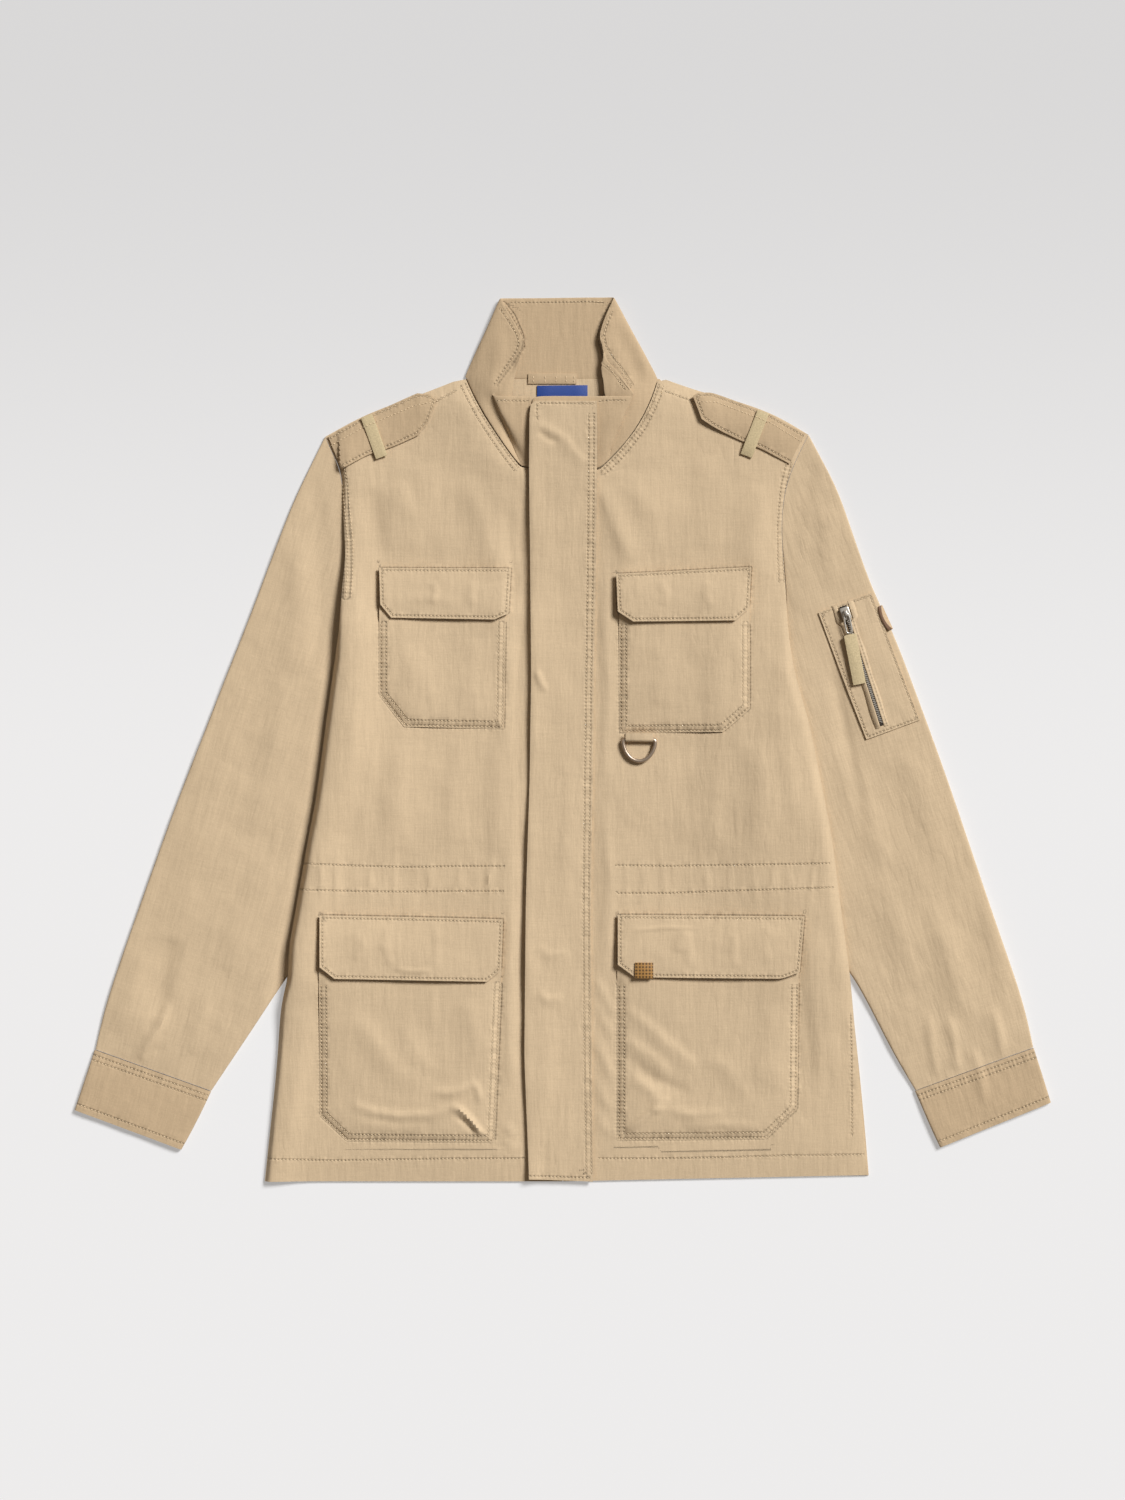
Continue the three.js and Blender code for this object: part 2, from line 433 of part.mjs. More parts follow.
const NECK_LABEL = [
  { leftX: -24.5, leftY: 336.0, rightX: 23.5, rightY: 336.4 },
  { leftX: -24.5, leftY: 316.0, rightX: 23.5, rightY: 316.4 },
]
const HANGER_LOOP = [
  { leftX: -33.0, leftY: 347.5, rightX: 13.0, rightY: 347.5 },
  { leftX: -33.0, leftY: 337.6, rightX: 13.0, rightY: 337.6 },
]
const BADGE = { width: 25, onTop: 3.4, under: 0.3, thick: 0.6, stations: 9, roll: 1.5, seat: 3 }
// Turns of the badge's section round the fold, as shares of a right angle, and its least share of the width
const BADGE_TURNS = [1, 0.66, 0.33, 0]
const BADGE_BELOW = 0.3
const BADGE_TIP = 0.06
const BADGE_MIDDLE = { x: 307.5, y: 116.0 }
const RING_BAR = { x: 72.4, y: 0.6 }
const WEBBING_TAIL = 5.2

const group = new THREE.Group()

function mix(a, b, t) {
  return a + (b - a) * t
}

function smooth(t) {
  const c = Math.min(1, Math.max(0, t))
  return c * c * (3 - 2 * c)
}

function vector(x, y, z) {
  return new THREE.Vector3(x, y, z)
}

// Distance from a point to a line's segment, and how far along it the nearest point lies
function nearestOnLine(x, y, line) {
  const dx = line.toX - line.fromX
  const dy = line.toY - line.fromY
  const along = ((x - line.fromX) * dx + (y - line.fromY) * dy) / (dx * dx + dy * dy)
  const t = Math.min(1, Math.max(0, along))
  return { t, away: Math.hypot(x - line.fromX - t * dx, y - line.fromY - t * dy) }
}

function foldHeight(folds, x, y) {
  let sum = 0
  for (const fold of folds) {
    const { t, away } = nearestOnLine(x, y, fold)
    const ends = 1 - (2 * t - 1) ** 4
    sum += fold.height * ends * Math.exp(-((away / fold.width) ** 2))
  }
  return sum
}

// A surface that other pieces rest on, read as the height of its triangles at a place
class Surface {
  constructor(triangles) {
    this.triangles = triangles.map((corners) => ({
      corners,
      minX: Math.min(...corners.map((p) => p.x)),
      maxX: Math.max(...corners.map((p) => p.x)),
      minY: Math.min(...corners.map((p) => p.y)),
      maxY: Math.max(...corners.map((p) => p.y)),
    }))
  }

  heightAt(x, y) {
    let highest = -Infinity
    for (const { corners, minX, maxX, minY, maxY } of this.triangles) {
      if (x < minX || x > maxX || y < minY || y > maxY) continue
      const [a, b, c] = corners
      const area = (b.x - a.x) * (c.y - a.y) - (c.x - a.x) * (b.y - a.y)
      if (Math.abs(area) < 1e-9) continue
      const v = ((x - a.x) * (c.y - a.y) - (c.x - a.x) * (y - a.y)) / area
      const w = ((b.x - a.x) * (y - a.y) - (x - a.x) * (b.y - a.y)) / area
      const slack = 1e-6
      if (v < -slack || w < -slack || v + w > 1 + slack) continue
      highest = Math.max(highest, a.z + v * (b.z - a.z) + w * (c.z - a.z))
    }
    return highest
  }
}

function insideOutline(outline, x, y) {
  let inside = false
  for (let i = 0, j = outline.length - 1; i < outline.length; j = i, i += 1) {
    const a = outline[i]
    const b = outline[j]
    const crosses = (a.y > y) !== (b.y > y)
    if (crosses && x < ((b.x - a.x) * (y - a.y)) / (b.y - a.y) + a.x) inside = !inside
  }
  return inside
}

function distanceToOutline(outline, x, y) {
  let least = Infinity
  outline.forEach((a, i) => {
    const b = outline[(i + 1) % outline.length]
    if (Math.hypot(b.x - a.x, b.y - a.y) < 1e-6) return
    least = Math.min(least, nearestOnLine(x, y, { fromX: a.x, fromY: a.y, toX: b.x, toY: b.y }).away)
  })
  return least
}

// Highest point of what lies below, within a reach and inside the piece's own outline
function restingHeight(x, y, reach, outline, below) {
  let highest = 0
  const spots = [[0, 0]]
  for (const part of [0.35, 0.7, 1]) {
    for (let k = 0; k < 12; k += 1) {
      const turn = (k / 12) * 2 * Math.PI
      spots.push([part * reach * Math.cos(turn), part * reach * Math.sin(turn)])
    }
  }
  for (const [dx, dy] of spots) {
    const there = (dx === 0 && dy === 0) || insideOutline(outline, x + dx, y + dy)
    if (!there) continue
    for (const surface of below) highest = Math.max(highest, surface.heightAt(x + dx, y + dy) + SEAM_GAP)
  }
  return highest
}

// Rows refined so that no two lie further apart than a step. Ends stay on straight lines.
function refineRows(rows, step) {
  const out = []
  rows.forEach((row, i) => {
    out.push(row)
    const next = rows[i + 1]
    if (!next) return
    const span = Math.max(
      Math.hypot(next.leftX - row.leftX, next.leftY - row.leftY),
      Math.hypot(next.rightX - row.rightX, next.rightY - row.rightY),
    )
    const parts = Math.max(1, Math.round(span / step))
    for (let k = 1; k < parts; k += 1) {
      const t = k / parts
      out.push({
        leftX: mix(row.leftX, next.leftX, t),
        leftY: mix(row.leftY, next.leftY, t),
        rightX: mix(row.rightX, next.rightX, t),
        rightY: mix(row.rightY, next.rightY, t),
      })
    }
  })
  return out
}

function evenColumns(count) {
  return Array.from({ length: count }, (_, i) => i / (count - 1))
}

function planGrid(rows, columns) {
  return rows.map((row) =>
    columns.map((f) => ({ x: mix(row.leftX, row.rightX, f), y: mix(row.leftY, row.rightY, f) })))
}

function gridOutline(grid) {
  const last = grid.length - 1
  const end = grid[0].length - 1
  const bottom = grid[0]
  const right = grid.slice(1, last).map((row) => row[end])
  const top = [...grid[last]].reverse()
  const left = grid.slice(1, last).map((row) => row[0]).reverse()
  return [...bottom, ...right, ...top, ...left]
}

// Cloth that bridges hollows softly: each point goes to the mean of its neighbours, never below its rest
function bridge(heights, rests, rounds) {
  let now = heights
  for (let r = 0; r < rounds; r += 1) {
    now = now.map((row, i) => row.map((z, j) => {
      const near = [now[i - 1]?.[j], now[i + 1]?.[j], row[j - 1], row[j + 1]].filter((n) => n !== undefined)
      const mean = near.reduce((a, b) => a + b, 0) / near.length
      return Math.max(rests[i][j], mix(z, mean, 0.6))
    }))
  }
  return now
}

function gridTriangles(points) {
  const out = []
  for (let i = 0; i + 1 < points.length; i += 1) {
    for (let j = 0; j + 1 < points[0].length; j += 1) {
      const a = points[i][j]
      const b = points[i][j + 1]
      const c = points[i + 1][j + 1]
      const d = points[i + 1][j]
      out.push([a, b, c], [a, c, d])
    }
  }
  return out
}

function signedVolume(triangles) {
  return triangles.reduce((sum, [a, b, c]) => sum + a.dot(vector(0, 0, 0).crossVectors(b, c)) / 6, 0)
}

function addMesh(name, material, triangles) {
  const outward = signedVolume(triangles) > 0
  const numbers = []
  for (const [a, b, c] of triangles) {
    const corners = outward ? [a, b, c] : [a, c, b]
    for (const p of corners) numbers.push(p.x, p.y, p.z)
  }
  const geometry = new THREE.BufferGeometry()
  geometry.setAttribute('position', new THREE.Float32BufferAttribute(numbers, 3))
  geometry.computeVertexNormals()
  const mesh = new THREE.Mesh(geometry, material)
  mesh.name = name
  group.add(mesh)
  return mesh
}

// A closed wall between an upper and a lower grid of points
function wallTriangles(upper, lower) {
  const triangles = gridTriangles(upper)
  for (const [a, b, c] of gridTriangles(lower)) triangles.push([a, c, b])
  const rim = (list) => gridOutline(list)
  const high = rim(upper)
  const low = rim(lower)
  high.forEach((a, i) => {
    const next = (i + 1) % high.length
    triangles.push([a, low[i], low[next]], [a, low[next], high[next]])
  })
  return triangles
}

// A flat-laid piece: it rests on what is below, bridges hollows and has its own loft and folds
function layPiece(name, material, rows, options) {
  const { columns, step, wall, below, loft = () => 0, reach = REST_REACH, rounds = 2 } = options
  const plan = planGrid(refineRows(rows, step), columns)
  const outline = gridOutline(plan)
  const rests = plan.map((row) => row.map((p) => restingHeight(p.x, p.y, reach, outline, below)))
  const bridged = bridge(rests, rests, rounds)
  const lower = plan.map((row, i) => row.map((p, j) => {
    const raise = loft(p.x, p.y, distanceToOutline(outline, p.x, p.y), rests[i][j])
    return vector(p.x, p.y, bridged[i][j] + Math.max(0, raise))
  }))
  const upper = lower.map((row) => row.map((p) => vector(p.x, p.y, p.z + wall)))
  addMesh(name, material, wallTriangles(upper, lower))
  return new Surface(gridTriangles(upper))
}

// Sleeves and cuffs

// Fractions along the armhole at which its points lie, by length
function pathFractions(points) {
  const lengths = [0]
  points.slice(1).forEach((p, i) => {
    lengths.push(lengths[i] + Math.hypot(p.x - points[i].x, p.y - points[i].y))
  })
  return lengths.map((d) => d / lengths[lengths.length - 1])
}

// One flattened ring: plan points from the outer fold to the inner fold, over the top and back below
function flatRing(path, height, wall, air, folds) {
  const inset = [0.15, 1]
  const radius = height / 2
  const first = path[0]
  const last = path[path.length - 1]
  const towards = (a, b, d) => {
    const span = Math.hypot(b.x - a.x, b.y - a.y)
    return { x: a.x + ((b.x - a.x) * d) / span, y: a.y + ((b.y - a.y) * d) / span }
  }
  const middle = path.slice(1, -1)
  const shape = (shrink) => {
    const low = shrink
    const high = height - shrink
    const half = (high - low) / 2
    const centre = height / 2
    const end = (a, b) => inset.map((t) => towards(a, b, shrink + t * Math.max(radius, 1.5)))
    const startSpots = end(first, path[1])
    const endSpots = end(last, path[path.length - 2])
    const raised = (p) => {
      const fold = shrink === 0 || air > 1.5 ? foldHeight(folds, p.x, p.y) : 0
      return Math.max(centre + 0.2, high + Math.max(-air * 0.6, fold))
    }
    const nose = towards(first, path[1], shrink)
    const tail = towards(last, path[path.length - 2], shrink)
    const steep = 0.75 * half
    return [
      vector(nose.x, nose.y, centre),
      vector(startSpots[0].x, startSpots[0].y, centre + steep),
      vector(startSpots[1].x, startSpots[1].y, high),
      ...middle.map((p) => vector(p.x, p.y, raised(p))),
      vector(endSpots[1].x, endSpots[1].y, high),
      vector(endSpots[0].x, endSpots[0].y, centre + steep),
      vector(tail.x, tail.y, centre),
      vector(endSpots[0].x, endSpots[0].y, centre - steep),
      vector(endSpots[1].x, endSpots[1].y, low),
      ...[...middle].reverse().map((p) => vector(p.x, p.y, low)),
      vector(startSpots[1].x, startSpots[1].y, low),
      vector(startSpots[0].x, startSpots[0].y, centre - steep),
    ]
  }
  return { outside: shape(0), inside: shape(wall) }
}

function tubeTriangles(rings) {
  const triangles = []
  const skin = (key, flip) => {
    for (let i = 0; i + 1 < rings.length; i += 1) {
      const a = rings[i][key]
      const b = rings[i + 1][key]
      a.forEach((p, j) => {
        const k = (j + 1) % a.length
        const faces = [[p, a[k], b[k]], [p, b[k], b[j]]]
        for (const [u, v, w] of faces) triangles.push(flip ? [u, w, v] : [u, v, w])
      })
    }
  }
  skin('outside', false)
  skin('inside', true)
  const cap = (ring, flip) => {
    ring.outside.forEach((p, j) => {
      const k = (j + 1) % ring.outside.length
      const faces = [[p, ring.inside[j], ring.inside[k]], [p, ring.inside[k], ring.outside[k]]]
      for (const [u, v, w] of faces) triangles.push(flip ? [u, w, v] : [u, v, w])
    })
  }
  cap(rings[0], false)
  cap(rings[rings.length - 1], true)
  return triangles
}

function refineRings(rings, parts) {
  const keys = ['outerX', 'outerY', 'innerX', 'innerY', 'air']
  const at = (i) => rings[Math.min(rings.length - 1, Math.max(0, i))]
  const out = []
  for (let i = 0; i + 1 < rings.length; i += 1) {
    for (let k = 0; k < parts; k += 1) {
      const t = k / parts
      const ring = {}
      for (const key of keys) {
        const [p, q, r, s] = [at(i - 1)[key], at(i)[key], at(i + 1)[key], at(i + 2)[key]]
        const bend = (2 * p - 5 * q + 4 * r - s) * t * t + (3 * q - p - 3 * r + s) * t * t * t
        ring[key] = i === 0 ? mix(q, r, t) : 0.5 * (2 * q + (r - p) * t + bend)
      }
      out.push(ring)
    }
  }
  out.push(at(rings.length - 1))
  return out
}

function sleevePath(ring, armhole, fade) {
  const fractions = pathFractions(armhole)
  const from = armhole[0]
  const to = armhole[armhole.length - 1]
  return fractions.map((f, j) => ({
    x: mix(ring.outerX, ring.innerX, f) + fade * (armhole[j].x - mix(from.x, to.x, f)),
    y: mix(ring.outerY, ring.innerY, f) + fade * (armhole[j].y - mix(from.y, to.y, f)),
  }))
}

function makeSleeve(name, table, armhole) {
  const parts = 2
  const rings = refineRings(table, parts)
  const fadeAt = (i) => {
    const step = i / parts
    const low = Math.floor(step)
    return mix(ARMHOLE_FADE[low] ?? 0, ARMHOLE_FADE[low + 1] ?? 0, step - low)
  }
  const walls = rings.map((ring, i) => {
    const path = sleevePath(ring, armhole, fadeAt(i))
    const folds = i === 0 || i === rings.length - 1 ? [] : SLEEVE_FOLDS
    return flatRing(path, 2 * CLOTH + ring.air, CLOTH, ring.air, folds)
  })
  const triangles = tubeTriangles(walls)
  addMesh(name, MATERIALS.cloth, triangles)
  return new Surface(triangles)
}

function makeCuff(name, table) {
  const walls = table.map((ring) => {
    const path = evenColumns(CUFF_COLUMNS).map((f) => ({
      x: mix(ring.outerX, ring.innerX, f),
      y: mix(ring.outerY, ring.innerY, f),
    }))
    return flatRing(path, 2 * DOUBLE_CLOTH + ring.air, DOUBLE_CLOTH, ring.air, [])
  })
  addMesh(name, MATERIALS.cloth, tubeTriangles(walls))
}

const rightSleeve = makeSleeve('sleeve_right', RIGHT_SLEEVE, RIGHT_ARMHOLE)
const leftSleeve = makeSleeve('sleeve_left', LEFT_SLEEVE, LEFT_ARMHOLE)
makeCuff('cuff_right', RIGHT_CUFF)
makeCuff('cuff_left', LEFT_CUFF)

// Body panels

// The outside end of a row, set off from the armhole seam where the row meets it
function sideEnd(row, armhole, away) {
  if (row.armhole === undefined) return { x: row.sideX, y: row.sideY }
  const p = armhole[row.armhole]
  return { x: p.x + away * (SEAM_GAP + 0.1), y: p.y }
}

const rightRows = RIGHT_FRONT.map((row) => {
  const side = sideEnd(row, RIGHT_ARMHOLE, 1)
  return { leftX: side.x, leftY: side.y, rightX: row.frontX, rightY: row.frontY }
})
const leftRows = LEFT_FRONT.map((row) => {
  const side = sideEnd(row, LEFT_ARMHOLE, -1)
  return { leftX: row.frontX, leftY: row.frontY, rightX: side.x, rightY: side.y }
})

// Back panel, row by row from the hem to the armholes and over the shoulders to the neck
const BACK_SIDES = [
  { rightX: -281.5, rightY: -418.5, leftX: 290.5, leftY: -414.0 },
  { rightX: -276.0, rightY: -367.2, leftX: 287.0, leftY: -371.0 },
  { rightX: -272.0, rightY: -323.5, leftX: 282.5, leftY: -323.5 },
  { rightX: -267.0, rightY: -252.2, leftX: 275.0, leftY: -252.2 },
  { rightX: -259.5, rightY: -224.7, leftX: 271.7, leftY: -222.8 },
  { rightX: -245.8, rightY: -147.7, leftX: 262.0, leftY: -150.6 },
  { rightX: -237.5, rightY: -100.0, leftX: 254.4, leftY: -90.7 },
  { rightX: -229.2, rightY: -57.5, leftX: 245.0, leftY: -42.3 },
  { rightX: -220.1, rightY: 10.9, leftX: 233.0, leftY: 16.6 },
  { rightX: -211.2, rightY: 76.5, leftX: 218.3, leftY: 67.0 },
]
const BACK_SHOULDERS = [
  { rightX: -189.5, rightY: 306.4, leftX: 197.0, leftY: 309.3 },
  { rightX: -164.5, rightY: 316.6, leftX: 168.0, leftY: 320.1 },
  { rightX: -137.4, rightY: 325.8, leftX: 132.0, leftY: 328.7 },
  { rightX: -103.5, rightY: 339.4, leftX: 97.5, leftY: 339.8 },
  { rightX: -95.0, rightY: 341.2, leftX: 92.0, leftY: 341.2 },
]
// Armhole points that the back panel meets, from the underarm up
const BACK_ARMHOLE = [7, 6, 5, 4, 3, 2, 1, 0]

function makeBack() {
  const armholes = BACK_ARMHOLE.map((k) => ({
    rightX: RIGHT_ARMHOLE[k].x + 2 * SEAM_GAP,
    rightY: RIGHT_ARMHOLE[k].y,
    leftX: LEFT_ARMHOLE[k].x - 2 * SEAM_GAP,
    leftY: LEFT_ARMHOLE[k].y,
  }))
  // A wearer's right side lies at a row's left end
  const rows = [...BACK_SIDES, ...armholes, ...BACK_SHOULDERS].map((row) => ({
    leftX: row.rightX, leftY: row.rightY, rightX: row.leftX, rightY: row.leftY,
  }))
  return layPiece('back_panel', MATERIALS.cloth, rows, {
    columns: BACK_COLUMNS, step: BACK_STEP, wall: CLOTH, below: [rightSleeve, leftSleeve], reach: BACK_REACH,
    loft: (x, y, edge, rest) => (rest > CLOTH ? SEAM_GAP : 0),
    rounds: 1,
  })
}

const back = makeBack()

const NECK_LINES = [
  { fromX: -92, fromY: 342, toX: -61.6, toY: 286.9 },
  { fromX: -61.6, fromY: 286.9, toX: -41, toY: 258.9 },
  { fromX: -41, fromY: 258.9, toX: 0, toY: 248.4 },
  { fromX: 0, fromY: 248.4, toX: 35.3, toY: 256 },
  { fromX: 35.3, fromY: 256, toX: 60, toY: 281.7 },
  { fromX: 60, fromY: 281.7, toX: 90, toY: 340 },
]

// Where the lift fades out on the shoulder
const NECK_FADE = { from: 318, over: 24 }

// The fronts stand off the back round the neck, and roll down to it at the shoulder's end
function neckLift(x, y) {
  const away = Math.min(...NECK_LINES.map((line) => nearestOnLine(x, y, line).away))
  const shoulder = 1 - smooth((y - NECK_FADE.from) / NECK_FADE.over)
  return NECK_LIFT * Math.exp(-((away / NECK_REACH) ** 2)) * shoulder
}

function frontLoft(x, y, edge) {
  const pillow = PANEL_LOFT * (1 - Math.exp(-edge / LOFT_EDGE))
  const inside = smooth(edge / FOLD_EDGE)
  return pillow + neckLift(x, y) + inside * foldHeight(BODY_FOLDS, x, y)
}

const frontOptions = { step: FRONT_STEP, wall: CLOTH, below: [back], loft: frontLoft, reach: FRONT_REACH }
const rightFront = layPiece('front_right', MATERIALS.cloth, rightRows, {
  ...frontOptions, columns: FRONT_COLUMNS,
})
const leftFront = layPiece('front_left', MATERIALS.cloth, leftRows, {
  ...frontOptions, columns: FRONT_COLUMNS.map((f) => 1 - f).reverse(),
})

// Collar

function edgeHeight(surface, x, y) {
  for (const step of [1, 2, 3, 4, 6, 8]) {
    for (let k = 0; k < 16; k += 1) {
      const turn = (k / 16) * 2 * Math.PI
      const height = surface.heightAt(x + step * Math.cos(turn), y + step * Math.sin(turn))
      if (height > 0) return height
    }
  }
  return CLOTH
}

function collarSection(row) {
  const panel = row.neckX < 0 ? rightFront : leftFront
  const neckZ = row.lift ?? edgeHeight(panel, row.neckX, row.neckY) - CLOTH / 2
  const turn = row.via ?? { x: row.topX, y: row.topY, z: row.topZ }
  const share = row.via ? COLLAR_BEND : 1
  return evenColumns(COLLAR_ROWS).map((t) => {
    if (t > share) {
      const past = (t - share) / (1 - share)
      return vector(mix(turn.x, row.topX, past), mix(turn.y, row.topY, past), mix(turn.z, row.topZ, past))
    }
    const up = t / share
    const bow = row.bow * 4 * up * (1 - up)
    return vector(mix(row.neckX, turn.x, up), mix(row.neckY, turn.y, up), mix(neckZ, turn.z, up) + bow)
  })
}

function makeCollar() {
  const middle = COLLAR.map(collarSection)
  const half = DOUBLE_CLOTH / 2
  const side = (sign) => middle.map((section, i) => section.map((p, j) => {
    const along = vector(0, 0, 0).subVectors(
      (middle[i + 1] ?? section)[j], (middle[i - 1] ?? section)[j])
    const up = vector(0, 0, 0).subVectors(section[j + 1] ?? p, section[j - 1] ?? p)
    const normal = vector(0, 0, 0).crossVectors(along, up).normalize()
    const moved = p.clone().addScaledVector(normal, sign * half)
    moved.z = Math.max(0, moved.z)
    return moved
  }))
  const outer = side(1)
  const inner = side(-1)
  addMesh('collar', MATERIALS.cloth, wallTriangles(outer, inner))
  return new Surface([...gridTriangles(outer), ...gridTriangles(inner)])
}

const collar = makeCollar()

// Fastener flap down the front

// The free edge stands a little higher than the sewn one
function placketLoft(x, edge) {
  const free = smooth((PLACKET_WIDTH / 2 - x) / PLACKET_WIDTH)
  return PLACKET_LIFT * free * smooth(edge / LOFT_EDGE + 0.4)
}

layPiece('placket', MATERIALS.cloth, PLACKET, {
  columns: PLACKET_COLUMNS, step: PLACKET_STEP, wall: DOUBLE_CLOTH, below: [rightFront, leftFront, collar],
  loft: (x, y, edge) => placketLoft(x, edge),
  reach: FRONT_REACH,
  rounds: 3,
})

// D-ring in its webbing loop, below the left chest pocket

// A round wire along a closed path in a flat plane, as rings of points
function wireLoop(path, radius, sides) {
  const count = path.length
  return path.map((p, i) => {
    const before = path[(i + count - 1) % count]
    const after = path[(i + 1) % count]
    const come = vector(p.x - before.x, p.y - before.y, 0).normalize()
    const leave = vector(after.x - p.x, after.y - p.y, 0).normalize()
    const along = come.clone().add(leave).normalize()
    const stretch = 1 / Math.max(0.5, along.dot(leave))
    const out = vector(along.y, -along.x, 0)
    return Array.from({ length: sides }, (_, k) => {
      const turn = (k / sides) * 2 * Math.PI
      const lift = radius * Math.sin(turn)
      return vector(p.x, p.y, lift).addScaledVector(out, stretch * radius * Math.cos(turn))
    })
  })
}

function loopTriangles(rings) {
  const triangles = []
  rings.forEach((a, i) => {
    const b = rings[(i + 1) % rings.length]
    a.forEach((p, j) => {
      const k = (j + 1) % a.length
      triangles.push([p, a[k], b[k]], [p, b[k], b[j]])
    })
  })
  return triangles
}

function moved(triangles, shift) {
  return triangles.map((corners) => corners.map((p) => p.clone().add(shift)))
}

function highestIn(surfaces, fromX, toX, fromY, toY) {
  let highest = 0
  for (let x = fromX; x <= toX; x += 1.5) {
    for (let y = fromY; y <= toY; y += 1.5) {
      for (const surface of surfaces) highest = Math.max(highest, surface.heightAt(x, y))
    }
  }
  return highest
}

function makeRing(front) {
  const radius = RING_WIRE / 2
  const inner = radius + SEAM_GAP
  const outer = inner + WEBBING_WALL
  const halfWeb = WEBBING_WIDTH / 2
  const webSeat = highestIn([front], RING_BAR.x - halfWeb, RING_BAR.x + halfWeb,
    RING_BAR.y - outer, RING_BAR.y + WEBBING_TAIL)
  const ringSeat = highestIn([front], RING_BAR.x - RING_WIDTH / 2, RING_BAR.x + RING_WIDTH / 2,
    RING_BAR.y - RING_DROP, RING_BAR.y)
  const barZ = Math.max(webSeat + SEAM_GAP + outer, ringSeat + SEAM_GAP + radius)

  const halfBar = RING_WIDTH / 2 - radius
  const drop = RING_DROP - radius
  const steps = 14
  const path = [{ x: 0, y: 0 }]
  for (let k = 0; k <= steps; k += 1) {
    const turn = (k / steps) * Math.PI
    path.push({ x: halfBar * Math.cos(turn), y: -drop * Math.sin(turn) })
  }
  const wire = loopTriangles(wireLoop(path, radius, 8))
  addMesh('dring', MATERIALS.darkMetal, moved(wire, vector(RING_BAR.x, RING_BAR.y, barZ)))

  const shape = new THREE.Shape()
  shape.moveTo(WEBBING_TAIL, outer)
  shape.lineTo(0, outer)
  shape.absarc(0, 0, outer, Math.PI / 2, (3 * Math.PI) / 2, false)
  shape.lineTo(WEBBING_TAIL, -outer)
  shape.lineTo(WEBBING_TAIL, -inner)
  shape.lineTo(0, -inner)
  shape.absarc(0, 0, inner, (3 * Math.PI) / 2, Math.PI / 2, true)
  shape.lineTo(WEBBING_TAIL, inner)
  const geometry = new THREE.ExtrudeGeometry(shape, {
    depth: WEBBING_WIDTH, bevelEnabled: false, curveSegments: 8,
  })
  // The profile's own x and y become the object's Y and Z, and its depth becomes X
  geometry.applyMatrix4(new THREE.Matrix4().makeBasis(vector(0, 1, 0), vector(0, 0, 1), vector(1, 0, 0)))
  const mesh = new THREE.Mesh(geometry, MATERIALS.webbing)
  mesh.name = 'dring_webbing'
  mesh.position.set(RING_BAR.x - halfWeb, RING_BAR.y, barZ)
  group.add(mesh)
}

// Pockets and flaps

function pocketLoft(x, y, edge) {
  return POCKET_LOFT * smooth(edge / POCKET_EDGE)
}

function flapLoft(x, y, edge) {
  return FLAP_LOFT * smooth(edge / FLAP_EDGE)
}

const FRONTS = { right: rightFront, left: leftFront }
for (const side of ['right', 'left']) {
  const front = FRONTS[side]
  const sizes = [
    { kind: 'chest', pockets: CHEST_POCKETS, flaps: CHEST_FLAPS },
    { kind: 'lower', pockets: LOWER_POCKETS, flaps: LOWER_FLAPS },
  ]
  for (const { kind, pockets, flaps } of sizes) {
    const pocket = layPiece(`${kind}_pocket_${side}`, MATERIALS.cloth, pockets[side], {
      columns: POCKET_COLUMNS, step: POCKET_STEP, wall: CLOTH, below: [front],
      loft: pocketLoft, rounds: 3, reach: POCKET_REACH,
    })
    const flap = layPiece(`${kind}_flap_${side}`, MATERIALS.cloth, flaps[side], {
      columns: FLAP_COLUMNS, step: FLAP_STEP, wall: DOUBLE_CLOTH, below: [front, pocket],
      loft: flapLoft, rounds: 3, reach: POCKET_REACH,
    })
    if (kind === 'lower' && side === 'left') {
      layPiece('flap_tab', MATERIALS.leather, FLAP_TAB, {
        columns: evenColumns(3), step: 8, wall: CLOTH, below: [flap, pocket, front], reach: 7,
      })
    }
    if (kind === 'chest' && side === 'left') makeRing(front)
  }
}

// Epaulettes and the loops over them

for (const side of ['right', 'left']) {
  const epaulette = layPiece(`epaulette_${side}`, MATERIALS.cloth, EPAULETTES[side], {
    columns: [0, 0.12, 0.37, 0.63, 0.88, 1], step: 14, wall: DOUBLE_CLOTH, below: [FRONTS[side]],
    loft: (x, y, edge) => {
      const tip = side === 'left' ? LEFT_TIP.rise * smooth((LEFT_TIP.from - x) / LEFT_TIP.over) : 0
      return EPAULETTE_LOFT * smooth(edge / EPAULETTE_EDGE) + tip
    },
    rounds: 3,
  })
  layPiece(`epaulette_loop_${side}`, MATERIALS.webbing, EPAULETTE_LOOPS[side], {
    columns: evenColumns(4), step: 8, wall: CLOTH, below: [epaulette, FRONTS[side]], reach: LOOP_REACH,
  })
}

// Sleeve pocket, its zip and the badge on the sleeve's fold

